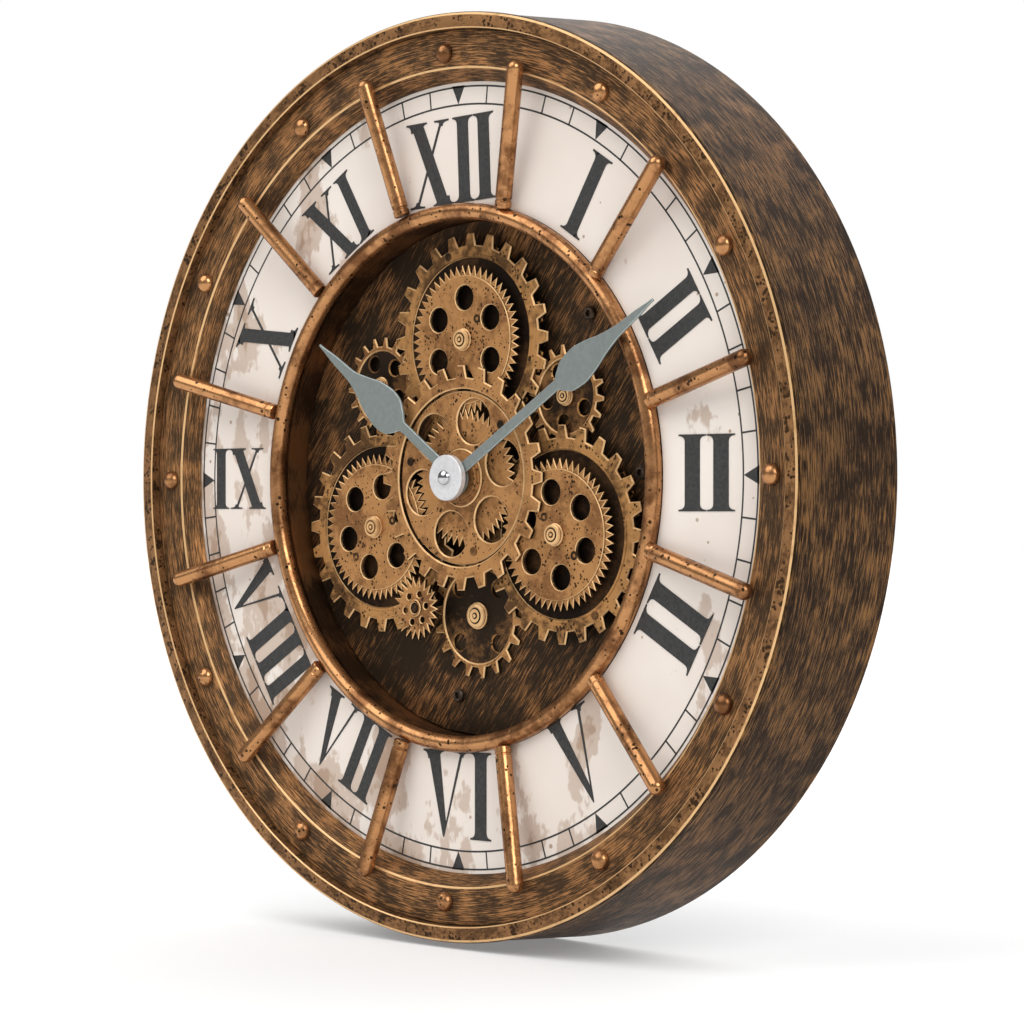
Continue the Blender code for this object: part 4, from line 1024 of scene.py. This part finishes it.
# %% The tree for a gear blank
def hole_curves(tree, given):
    """Circles for the holes, and one for the bore."""
    index = made(tree, "GeometryNodeInputIndex")
    step = add_sum(tree, "DIVIDE", 360.0, add_sum(tree, "MAXIMUM", given["Holes"], 1.0))
    hole_turn = plus(tree, given["First hole"], times(tree, index, step))
    hole_at = on_circle(tree, given["Hole circle"], hole_turn)
    dots = made(tree, "GeometryNodePoints", {"Count": given["Holes"], "Position": hole_at})
    hole = made(tree, "GeometryNodeCurvePrimitiveCircle", {"Resolution": 28, "Radius": given["Hole radius"]})
    holes = made(tree, "GeometryNodeInstanceOnPoints", {"Points": dots, "Instance": hole})
    real = made(tree, "GeometryNodeRealizeInstances", {"Geometry": holes})
    bore = made(tree, "GeometryNodeCurvePrimitiveCircle", {"Resolution": 96, "Radius": given["Bore"]})
    return real, bore


def together(tree, *parts):
    """Several geometries as one."""
    node = add(tree, "GeometryNodeJoinGeometry")
    for part in parts:
        tree.links.new(part, node.inputs[0])
    return node.outputs[0]


def gear_tree():
    sizes = ("Root radius", "Tip radius", "Root share", "Tip share", "First tooth", "Hole radius",
             "Hole circle", "First hole", "Bore", "Bottom", "Thickness")
    sockets = [("Teeth", "Int"), ("Holes", "Int"), *[(size, "Float") for size in sizes]]
    tree, given = shape_tree("gear blank", [*sockets, ("Finish", "Material")])
    curves = together(tree, teeth_curve(tree, given), *hole_curves(tree, given))
    face = made(tree, "GeometryNodeFillCurve", {"Curve": curves})
    up = made(tree, "ShaderNodeCombineXYZ", {"Z": given["Thickness"]})
    values = {"Mesh": face, "Offset": up, "Offset Scale": 1.0, "Individual": False}
    raised = made(tree, "GeometryNodeExtrudeMesh", values)
    below = made(tree, "GeometryNodeFlipFaces", {"Mesh": face})
    values = {"Geometry": together(tree, raised, below), "Distance": 1e-6}
    closed = made(tree, "GeometryNodeMergeByDistance", values)
    place = made(tree, "ShaderNodeCombineXYZ", {"Z": given["Bottom"]})
    moved = made(tree, "GeometryNodeTransform", {"Geometry": closed, "Translation": place})
    end_tree(tree, moved, given["Finish"])
    return tree


GEAR_BLANK = gear_tree()
print("tree:", GEAR_BLANK.name, "with", len(GEAR_BLANK.nodes), "nodes")

# %% [markdown]
# Two functions call the tree with sizes in millimetres. A tooth's root and tip are given as shares of the
# pitch, and holes as their number, radius, circle and first turn. A plain disc is a gear whose teeth have no
# height.

# %% Blanks
BROAD = 0.6, 0.33
BLUNT = 0.55, 0.22
SHARP = 1.0, 0.0
NO_HOLES = 0, 1.0, 1.0, 0.0


def blank(teeth, root, tip, bottom, top, bore, shares=BROAD, first=0.0, holes=NO_HOLES):
    """A gear blank in millimetres, from its tree."""
    count, hole_r, hole_circle, first_hole = holes
    mesh = grown(bpy.data.meshes.new("start"), GEAR_BLANK, teeth=teeth, root_radius=root * MM,
                 tip_radius=tip * MM, root_share=shares[0], tip_share=shares[1], first_tooth=first,
                 holes=count, hole_radius=hole_r * MM, hole_circle=hole_circle * MM, first_hole=first_hole,
                 bore=bore * MM, bottom=bottom * MM, thickness=(top - bottom) * MM, finish=GEAR)
    return cleaned(mesh)


def disc(radius, bottom, top, bore, holes=NO_HOLES):
    """A round plate with holes, from the same tree."""
    return blank(48, radius, radius, bottom, top, bore, (1.0, 0.5), 0.0, holes)


print("shares of root and tip:", BROAD, BLUNT, SHARP)

# %% [markdown]
# Studs hold the wheels. Their front ends are turned with fine steps, which look like a spiral from in front.
# The grooves between the steps take the third finish, which on the gears is dark as painted shade, and the
# tops take the lighter edge finish, partly rubbed wear and partly a painted highlight.

# %% Studs
# Front points are a share of the radius and a depth, side points are shares of radius and height.
STUD_FRONT = ((0.0, 0.0), (0.14, 0.0), (0.19, 0.25), (0.25, 0.25), (0.30, 0.04), (0.50, 0.08), (0.55, 0.35),
              (0.61, 0.35), (0.66, 0.13), (0.82, 0.25), (0.88, 0.45))
STUD_SIDE = ((0.84, 0.30), (0.92, 0.38), (0.92, 0.55), (0.86, 0.60), (1.0, 0.72))


def stud(bottom, top, radius):
    """A stepped stud in millimetres, with grooves in its front."""
    profile = [(radius * share, top - depth) for share, depth in STUD_FRONT]
    profile += [(radius * share, top - depth * (top - bottom)) for share, depth in STUD_SIDE]
    mesh = turned(in_mm(*profile, (radius, bottom), (0.0, bottom)), 32, closed=False)
    for face in mesh.polygons:
        share = face.center.xy.length / (radius * MM)
        # Grooves: third finish, painted shade. Tops: second finish, rubbed wear and a painted highlight.
        if 0.15 < share < 0.26 or 0.52 < share < 0.62:
            face.material_index = 2
        elif face.normal.z > 0.7:
            face.material_index = 1
    return mesh


print("a stud's profile has", len(STUD_FRONT) + len(STUD_SIDE) + 2, "points")

# %% [markdown]
# A wheel is made of blanks with chamfered edges and of things that need no chamfer: its stud, sleeves and the
# small round screws on its face. The finest teeth get a narrower chamfer.

# %% Wheels
WIDE_EDGE = 0.42
FINE_EDGE = 0.26


def small_screws(places, height, radius=1.45):
    """Screw heads on a wheel's face, at (radius, turn) in millimetres and degrees."""
    points = [(*polar(r * MM, turn), height * MM) for r, turn in places]
    mesh = one_at_each(points, screw_head(radius * MM, 0.35 * MM, radius * 0.5 * MM), PLATE_AND_SHADE)
    mesh.polygons.foreach_set("material_index", [2] * len(mesh.polygons))
    return mesh


def wheel(name, body, nodes, centre, parts, extra=(), edge=WIDE_EDGE, finishes=(GEAR, RUBBED_EDGE_AND_HIGHLIGHT, PLATE_AND_SHADE)):
    """Chamfers the blanks of a wheel, adds what needs no chamfer, and hangs it on its axis."""
    bm = bmesh.new()
    for part in [edged(part, edge * MM) for part in parts] + list(extra):
        bm.from_mesh(part)
    mesh = bpy.data.meshes.new(name)
    bm.to_mesh(mesh)
    bm.free()
    placed(mesh, centre)
    print(name, "has", len(mesh.polygons), "faces")
    return hang(name, mesh, body, finishes, nodes, 30.0)


print("chamfers of", WIDE_EDGE, "and", FINE_EDGE, "mm")

# %% [markdown]
# The centre gear has a raised toothed rim, a lower plate with six large holes and a raised boss with a collar
# for the hands.

# %% Centre gear
CENTRE_BACK, CENTRE_PLATE, CENTRE_FRONT = 33.5, 34.2, 34.9
AXIS = (0.0, 0.0)
rim_part = blank(24, 32.7, 36.7, CENTRE_BACK, CENTRE_FRONT, 29.0)
plate_part = disc(28.3, CENTRE_BACK, CENTRE_PLATE, 8.6, (6, 7.5, 19.0, 15.7))
boss_part = disc(9.6, CENTRE_BACK, CENTRE_FRONT, 5.4)
collar = turned(in_mm((8.6, 34.8), (8.4, 35.3), (7.5, 35.35), (7.3, 35.8), (6.4, 35.9), (5.4, 35.9),
                      (5.4, 34.8)), 64)
screws = small_screws(((24.5, 46.0), (24.5, 167.0), (24.5, 283.0)), CENTRE_PLATE)
wheel("centre_gear_front", "centre_gear", ["centre_ring_gear"], AXIS, [rim_part, plate_part, boss_part],
      [screws, collar])

# %% [markdown]
# The sharp-toothed wheel behind it drives the three wheels round it. The module is a gear's pitch diameter
# divided by its number of teeth. Wheels that mesh have the same module, so it follows from the distance of
# their centres and from their teeth.

# %% Fine wheel in the centre
CENTRES = 45.0
CENTRE_TEETH = 50
SIDE_TEETH = 54
FINE_MODULE = 2 * CENTRES / (CENTRE_TEETH + SIDE_TEETH)
FINE_FRONT = 32.7
SHEET = 1.2


def fine_blank(teeth, turn, top, bore, holes=NO_HOLES):
    """A sheet wheel with sharp teeth."""
    pitch_r = FINE_MODULE * teeth / 2
    return blank(teeth, pitch_r - 2.0, pitch_r + 1.1, top - SHEET, top, bore, SHARP, turn, holes)


sleeve = turned(in_mm((5.1, 35.9), (5.1, 28.9), (3.1, 28.9), (3.1, 35.9)), 48)
wheel("centre_fine_gear", "centre_gear", ["centre_fine_wheel"], AXIS,
      [fine_blank(CENTRE_TEETH, 0.0, FINE_FRONT, 4.9)], [sleeve], FINE_EDGE)

# %% [markdown]
# Three wheels lie round the centre, 45 mm from it. A wheel's turn is worked out so that its teeth sit in the
# gaps of the wheel that drives it.

# %% Where the wheels sit
BEARINGS = {"top": 0.0, "right": 114.0, "left": 249.0}


def in_mesh(driver_turn, driver_teeth, bearing, teeth):
    """The turn that puts a wheel's teeth in the gaps of its driver, which sees it at this bearing."""
    share = ((bearing - driver_turn) * driver_teeth / 360.0) % 1.0
    return bearing + 180.0 - (0.5 - share) * 360.0 / teeth


def side_centre(side):
    return polar(CENTRES * MM, BEARINGS[side])


def side_turn(side):
    return in_mesh(0.0, CENTRE_TEETH, BEARINGS[side], SIDE_TEETH)


for side in BEARINGS:
    print(side, "wheel is turned", round(side_turn(side), 2), "degrees")

# %% [markdown]
# Behind each of the three is a web in a near-black finish that is partly its own dark colour and partly
# painted shade in the recess. Two of them also have a small step of blunt teeth at the very back, which
# drives the small gears.

# %% Webs and back steps
RING_BACK = 29.3
WEB_BORE = 2.8
SMALL_TEETH = 18
# For each back step: its teeth, the distance to the small gears, how far teeth reach past the pitch circle,
# its front, and the radius and back of the disc before it.
STEPS = {"top": (36, 45.7, 1.2, 29.0, 28.0, 28.8), "right": (28, 48.5, 1.5, 27.5, 24.0, 27.3)}


def blunt_blank(teeth, pitch_r, addendum, top, bore, turn=0.0):
    """A sheet wheel with blunt teeth."""
    root = pitch_r - addendum - 0.5
    return blank(teeth, root, pitch_r + addendum, top - SHEET, top, bore, BLUNT, turn)


def ring_tail(side):
    """Web and back step of a ring gear, behind its teeth."""
    parts = [disc(27.2, RING_BACK, 29.9, WEB_BORE)]
    if side in STEPS:
        teeth, distance, addendum, top, disc_r, disc_back = STEPS[side]
        pitch_r = distance * teeth / (teeth + SMALL_TEETH)
        parts.append(disc(disc_r, disc_back, 29.4, WEB_BORE))
        parts.append(blunt_blank(teeth, pitch_r, addendum, top, WEB_BORE))
    return parts


print("back steps:", ", ".join(STEPS))

# %% [markdown]
# Each of the three is a sharp-toothed disc with six holes before a large toothed ring. The screws on the
# discs sit low, because the centre gear passes close before them.

# %% Wheels round the centre
FIRST_HOLES = {"top": 0.0, "right": 351.0, "left": 13.0}
SCREWS = {"top": ((8.9, 42.0),), "right": ((7.5, 318.0), (10.4, 129.0)), "left": ((13.7, 223.0), (8.5, 75.0))}
SCREW_H = 33.05  # the heads end at 33.4, and the centre gear's back is at 33.5
RING_SCREWS = {"top": 340.0, "right": 150.0, "left": 221.0}
RING_FRONT = 30.5
ARBOR_BORE = 2.3
for side in BEARINGS:
    centre, body = side_centre(side), f"{side}_gear"
    holes = (6, 4.15, 13.7, FIRST_HOLES[side])
    toothed = fine_blank(SIDE_TEETH, side_turn(side), FINE_FRONT, ARBOR_BORE, holes)
    plate = disc(21.0, 32.5, 33.2, ARBOR_BORE, holes)
    arbor = in_mm((0.0, 33.4), (2.5, 33.4), (2.5, 23.7), (3.6, 23.7), (3.6, 22.9), (0.0, 22.9))
    spacer = in_mm((5.0, 31.7), (5.0, 30.2), (2.4, 30.2), (2.4, 31.7))
    extra = [small_screws(SCREWS[side], SCREW_H), stud(33.0, 35.5, 3.7), turned(arbor, 24, closed=False),
             turned(spacer, 32)]
    wheel(f"{side}_fine_gear", body, [f"{side}_fine_wheel"], centre, [toothed, plate], extra, FINE_EDGE)
    ring_part = blank(24, 31.0, 35.0, RING_BACK, RING_FRONT, 27.0)
    lip = turned(in_mm((28.3, 30.4), (28.1, 30.7), (27.3, 30.7), (27.1, 30.4)), 96)
    extra = [lip, small_screws(((29.2, RING_SCREWS[side]),), RING_FRONT)]
    # The toothed ring takes the darker gear bronze, painted shade as it lies deeper.
    wheel(f"{side}_toothed_ring", body, [f"{side}_ring_gear"], centre, [ring_part], extra,
          finishes=(SHADED_GEAR, RUBBED_EDGE_AND_HIGHLIGHT, PLATE_AND_SHADE))
    # The web's near-black finish is partly painted shade in the recess.
    wheel(f"{side}_web", body, [], centre, ring_tail(side), finishes=(WEB_AND_SHADE, SHADED_GEAR, WEB_AND_SHADE))
print("wheels round the centre:", len(BEARINGS))

# %% [markdown]
# The four small gears fill the gaps. Three of them have a raised toothed rim round a lower plate, whose dark
# finish is partly painted shade.

# %% Small gears
# For each gear: the wheel that drives it, its bearing from there, the rim's inner radius or None, the plate's
# holes, the foot of its shaft and the radius of its stud.
SMALL = {"upper_left": ("top", 252.2, None, (5, 2.6, 8.5, 45.0), 22.9, 3.2),
         "upper_right": ("top", 114.8, None, (5, 2.6, 8.5, 45.0), 22.9, 3.2),
         "lower": ("right", 236.6, 15.6, (4, 2.8, 12.5, 45.0), 18.7, 4.4)}
for body, (driver, bearing, inner, holes, shaft_foot, stud_r) in SMALL.items():
    driver_teeth, distance, addendum, top = STEPS[driver][:4]
    centre = from_point(side_centre(driver), distance * MM, bearing)
    pitch_r = distance * SMALL_TEETH / (driver_teeth + SMALL_TEETH)
    inner = inner or pitch_r - addendum - 0.5 - 1.6
    turn = in_mesh(0.0, driver_teeth, bearing, SMALL_TEETH)
    rim_part = blunt_blank(SMALL_TEETH, pitch_r, addendum, top, inner, turn)
    plate = disc(inner + 0.2, top - SHEET, top - 0.45, ARBOR_BORE, holes)
    shaft = in_mm((0.0, top), (2.5, top), (2.5, shaft_foot), (0.0, shaft_foot))
    extra = [turned(shaft, 24, closed=False)]
    if driver == "top":
        extra.append(turned(in_mm((3.6, 23.7), (3.6, 22.9), (2.4, 22.9), (2.4, 23.7)), 24))
    extra.append(stud(top - 0.5, top + 1.6, stud_r))
    wheel(f"{body}_small_rim", body, [f"{body}_gear"], centre, [rim_part], extra)
    # The lower plate's dark finish is partly painted shade, and its walls take the near-black painted shade.
    wheel(f"{body}_small_plate", body, [], centre, [plate], finishes=(PLATE_AND_SHADE, SHADED_GEAR, WEB_AND_SHADE))

# %% [markdown]
# The smallest gear is a bright disc with sharp teeth. The left wheel drives it.

# %% Pinion
PINION_TEETH = 22
PINION_BEARING = 144.4
PINION_BORE = 1.8
pinion_distance = FINE_MODULE * (SIDE_TEETH + PINION_TEETH) / 2 * MM
pinion_centre = from_point(side_centre("left"), pinion_distance, PINION_BEARING)
pinion_turn = in_mesh(side_turn("left"), SIDE_TEETH, PINION_BEARING, PINION_TEETH)
pinion = fine_blank(PINION_TEETH, pinion_turn, 33.1, PINION_BORE, (6, 1.1, 4.9, 20.0))
boss = disc(2.9, 32.9, 33.7, PINION_BORE)
wheel("pinion_gear", "pinion", ["small_pinion"], pinion_centre, [pinion, boss], edge=FINE_EDGE)
print("small gears:", len(SMALL) + 1)

# %% [markdown]
# ## Hands and cap
#
# The hands are flat sheet with a leaf-shaped blade. Half its width is given at a few distances and smoothed
# with a cubic between them, so that the leaf has no corners.

# %% Outlines of the hands
HOUR_HALF = ((4.0, 1.8), (29.5, 1.7), (32.0, 4.0), (36.0, 6.8), (40.0, 7.4), (46.0, 6.6), (53.0, 4.2),
             (60.0, 2.1), (70.0, 1.4), (79.0, 0.4))
MINUTE_HALF = ((4.0, 1.8), (57.0, 1.7), (59.5, 3.4), (63.0, 5.5), (69.0, 6.2), (75.0, 5.2), (82.0, 3.2),
               (90.0, 1.8), (98.0, 1.3), (107.0, 0.4))


def smooth_half(points, each=6):
    """Points on a curve through the given ones, without overshoot."""
    slopes = []
    for i in range(len(points)):
        if i in (0, len(points) - 1):
            slopes.append(0.0)
            continue
        before = (points[i][1] - points[i - 1][1]) / (points[i][0] - points[i - 1][0])
        after = (points[i + 1][1] - points[i][1]) / (points[i + 1][0] - points[i][0])
        slopes.append(2 * before * after / (before + after) if before * after > 0 else 0.0)
    curve = []
    for i in range(len(points) - 1):
        (x0, y0), (x1, y1) = points[i], points[i + 1]
        span = x1 - x0
        for k in range(each):
            t = k / each
            y = (y0 * (1 + 2 * t) * (1 - t) ** 2 + slopes[i] * span * t * (1 - t) ** 2
                 + y1 * t * t * (3 - 2 * t) + slopes[i + 1] * span * t * t * (t - 1))
            curve.append((x0 + span * t, y))
    return curve + [points[-1]]


print("points on a hand's side:", len(smooth_half(HOUR_HALF)), "and", len(smooth_half(MINUTE_HALF)))

# %% [markdown]
# The minute hand leans a little towards the viewer, which carries its point over the ring and the rods. The
# hour hand is flat and has a tube that reaches back into the movement.

# %% Hands
HOUR_TURN = 305.0
MINUTE_TURN = 60.0
MINUTE_LEAN = 5.8 / 107.0  # its point stands 5.8 mm higher than its hub


def hand(half, bottom, thickness, lean, hub_r, hub_t, bore):
    """A leaf blade that leans, with a round hub, in millimetres."""
    curve = smooth_half(half)
    outline = [(w * MM, a * MM) for a, w in curve] + [(-w * MM, a * MM) for a, w in reversed(curve)]
    # The chamfer takes the lighter grey, a painted highlight.
    blade = edged(prism(outline, bottom * MM, (bottom + thickness) * MM), 0.2 * MM)
    for vertex in blade.vertices:
        vertex.co.z += lean * vertex.co.y
    hub = turned(in_mm((hub_r, bottom + hub_t), (hub_r, bottom), (bore, bottom), (bore, bottom + hub_t)), 64)
    return blade, hub


blade, hub = hand(HOUR_HALF, bottom=37.1, thickness=0.8, lean=0.0, hub_r=6.0, hub_t=0.8, bore=1.8)
tube = turned(in_mm((2.4, 37.3), (2.4, 21.4), (1.8, 21.4), (1.8, 37.3)), 32)
hour_mesh = placed(joined(blade, hub, tube), turn=HOUR_TURN)
hang("hour_leaf_hand", hour_mesh, "hour", [SLATE, SLATE_HIGHLIGHT, SLATE], ["hour_hand"], 30.0)

blade, hub = hand(MINUTE_HALF, bottom=38.3, thickness=0.7, lean=MINUTE_LEAN, hub_r=5.5, hub_t=1.3, bore=1.8)
minute_mesh = placed(joined(blade, hub), turn=MINUTE_TURN)
hang("minute_leaf_hand", minute_mesh, "minute", [SLATE, SLATE_HIGHLIGHT, SLATE], ["minute_hand"],
     30.0)
print("hands:", len(hour_mesh.polygons), "and", len(minute_mesh.polygons), "faces")

# %% [markdown]
# A silver cap covers the hands' hubs. It is a shallow turned disc with a broken edge, and a chrome nipple
# stands in its middle as a piece of its own.

# %% Cap
cap = turned(in_mm((0.0, 42.0), (2.6, 42.0), (7.2, 41.9), (7.45, 41.65), (7.45, 39.9), (0.0, 39.9)), 96,
             closed=False)
hang("cap_disc", cap, "minute", [SILVER], ["hand_nut"])
dome = [(2.5 * MM * math.sin(a), (42.3 + 1.5 * math.cos(a)) * MM) for a in ROUNDING]
nipple = turned([(0.0, 43.8 * MM)] + dome + in_mm((2.5, 41.8), (0.0, 41.8)), 48, closed=False)
hang("cap_nipple", nipple, "minute", [CHROME])
print("cap:", len(cap.polygons), "faces, nipple:", len(nipple.polygons))

# %% [markdown]
# ## Behind the dial
#
# The back is plain and useful: a board with a hatch over the battery, a keyhole plate and a switch. These and
# the works, apart from board, hatch and battery, are right as the CAD model has them and only need a finish.

# %% Works behind the dial
WORKS = {"minute_arbor": STEEL, "fixing_nut": STEEL, "hanger_plate": STEEL, "power_switch": GREY,
         "setting_knob": GREY, "movement_housing": BLACK, "gear_motor": BLACK}
for node, finish in WORKS.items():
    repaint(node, finish)
print("repainted:", ", ".join(WORKS))

# %% [markdown]
# The battery is a steel can in a printed sleeve: two colours on the sleeve, bare steel at both ends and a nub
# for the contact. One turned profile does it, laid on its side, and each ring of faces takes the finish of
# its place.

# %% Battery
CAN_R = 7.0
BAND_END = 12.0
CELL_Y = -19.3 * MM
CELL_H = 15.45 * MM
cell_profile = in_mm((0.0, -25.25), (6.4, -25.25), (6.6, -25.0), (7.05, -25.0), (7.25, -24.8),
                     (7.25, BAND_END), (7.25, 23.6), (7.05, 23.9), (5.4, 24.0), (2.75, 24.0), (2.75, 25.0),
                     (2.5, 25.25), (0.0, 25.25))
cell = turned(cell_profile, 64, closed=False)
for face in cell.polygons:
    if max(cell.vertices[i].co.xy.length for i in face.vertices) < CAN_R * MM:
        face.material_index = 1
    elif face.center.z > BAND_END * MM:
        face.material_index = 2
cell.transform(Matrix.Rotation(math.pi / 2, 4, "Y"))
placed(cell, (0.0, CELL_Y), CELL_H)
hang("cell", cell, "case", [SLEEVE, STEEL, BLACK], ["battery"])
print("battery:", len(cell.polygons), "faces")

# %% [markdown]
# The board and its hatch lie flush with the wall, so nothing may stand out from them. Their details are
# recesses: a groove round the board, and a thumb hollow and a row of grip grooves in the hatch. They are cut
# with the same Boolean as the numerals, out of a merged copy of the CAD mesh. The grooves repeat, so their
# cutter is set at a row of points by its tree.

# %% Board and hatch
def engraved(name, node, body, slot, finish, *cutters):
    """A piece that is a copy of a CAD node with recesses cut into it."""
    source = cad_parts[node].data
    mesh = bpy.data.meshes.new(name)
    corners = [face.vertices[:] for face in source.polygons]
    mesh.from_pydata([point.co for point in source.vertices], [], corners)
    mesh.transform(STAND.inverted())
    mesh = cleaned(mesh)
    for cutter in cutters:
        mesh = cut(mesh, cutter)
    return hang(name, mesh, body, [finish], [node])


ring_groove = turned(in_mm((135.2, -0.5), (135.2, 0.6), (134.0, 0.6), (134.0, -0.5)), ROUND)
engraved("back_board", "rear_panel", "case", "back_board", BOARD, ring_groove)

groove_outline = [(x * MM, y * MM) for x, y in ((-17.0, -0.5), (17.0, -0.5), (17.0, 0.5), (-17.0, 0.5))]
groove_cutter = prism(groove_outline, -0.5 * MM, 0.6 * MM)
grip = one_at_each([(0.0, y * MM, 0.0) for y in (-19.0, -21.2, -23.4, -25.6, -27.8)], groove_cutter, BLACK)
hollow = turned(in_mm((0.0, 1.2), (3.5, 1.0), (5.6, 0.4), (6.5, -0.4), (0.0, -0.4)), 48, closed=False)
placed(hollow, (0.0, -10.5 * MM))
hatch = engraved("battery_hatch", "rear_hatch", "hatch", "black_plastic", BLACK, grip, hollow)
print("board and hatch:", len(hatch.data.polygons), "faces in the hatch")

# %% [markdown]
# ## Floor, light and camera
#
# The clock gets a large pale floor at the height of its lowest point. The floor glows a little, so that it
# looks about as bright as the white behind it.

# %% Floor
FLOOR_Z = cad_box[0].z
REACH = 8.0
GLOW = 0.215
corners = [(x * REACH, y * REACH, FLOOR_Z) for x, y in ((-1, -1), (1, -1), (1, 1), (-1, 1))]
floor_mesh = bpy.data.meshes.new("floor")
floor_mesh.from_pydata(corners, [], [(0, 1, 2, 3)])
pale = plain_finish("pale floor", (0.76, 0.76, 0.76), (0.745, 0.745, 0.745), 3.0, (0.7, 0.8), 0.0)
shader = pale.node_tree.nodes["Principled BSDF"]
shader.inputs["Emission Color"].default_value = (1.0, 1.0, 1.0, 1.0)
shader.inputs["Emission Strength"].default_value = GLOW
floor_mesh.materials.append(pale)
floor = bpy.data.objects.new("floor", floor_mesh)
bpy.context.scene.collection.objects.link(floor)
print("floor at", round(FLOOR_Z, 4))

# %% [markdown]
# The camera sees a white sky, but everything else is lit by a dim one with a single bright patch above and
# behind the clock, which keeps the metal dark. Two suns give the main light, from the left and from the
# right. Their wide spread makes soft shadows, as large lamps do.

# %% Light
PATCH_AT = (-0.10, 0.80, 0.59)
DIM, BRIGHT, WHITE = 0.20, 1.6, 1.0
world = bpy.data.worlds.new("sky")
world.use_nodes = True
sky = world.node_tree
heading = add(sky, "ShaderNodeTexCoord").outputs["Generated"]
behind = vector_sum(sky, "DOT_PRODUCT", {0: heading, 1: PATCH_AT}, "Value")
panel = steps(sky, behind, 0.45, 0.90, DIM, BRIGHT)
seen = add(sky, "ShaderNodeLightPath").outputs["Is Camera Ray"]
strength = made(sky, "ShaderNodeMix", {0: seen, 2: panel, 3: WHITE}, data_type="FLOAT")
sky.links.new(strength, sky.nodes["Background"].inputs["Strength"])
sky.nodes["Background"].inputs["Color"].default_value = (1.0, 1.0, 1.0, 1.0)
bpy.context.scene.world = world
bpy.context.scene.view_settings.view_transform = "Standard"


def sun(name, place, energy, spread):
    """Even light from one side, aimed at the origin. A wide spread softens its shadows."""
    light = bpy.data.lights.new(name, "SUN")
    light.energy = energy
    light.angle = math.radians(spread)
    obj = bpy.data.objects.new(name, light)
    obj.location = place
    obj.rotation_euler = (-Vector(place)).to_track_quat("-Z", "Y").to_euler()
    bpy.context.scene.collection.objects.link(obj)


sun("left light", (-0.50, -0.90, 1.10), 1.7, 55.0)
sun("right light", (0.80, -0.42, 0.62), 1.65, 34.0)
print("lights:", len(bpy.data.lights))

# %% [markdown]
# The camera stands level with the clock, about a metre away and 44 degrees round to its right side. It aims a
# little right of the clock's middle and below it, which puts the clock where the photo has it.

# %% Camera
TARGET = Vector((33.4, -45.0, -11.1)) * MM
AZIMUTH = math.radians(44.3)
DISTANCE = 1.049
LENS = 116.7
camera_data = bpy.data.cameras.new("camera")
camera_data.lens = LENS
camera_data.sensor_width = 36.0
camera = bpy.data.objects.new("camera", camera_data)
camera.location = TARGET + DISTANCE * Vector((math.sin(AZIMUTH), -math.cos(AZIMUTH), 0.0))
camera.rotation_euler = (TARGET - camera.location).to_track_quat("-Z", "Y").to_euler()
bpy.context.scene.collection.objects.link(camera)
bpy.context.scene.camera = camera
print("camera:", [round(value, 3) for value in camera.location])
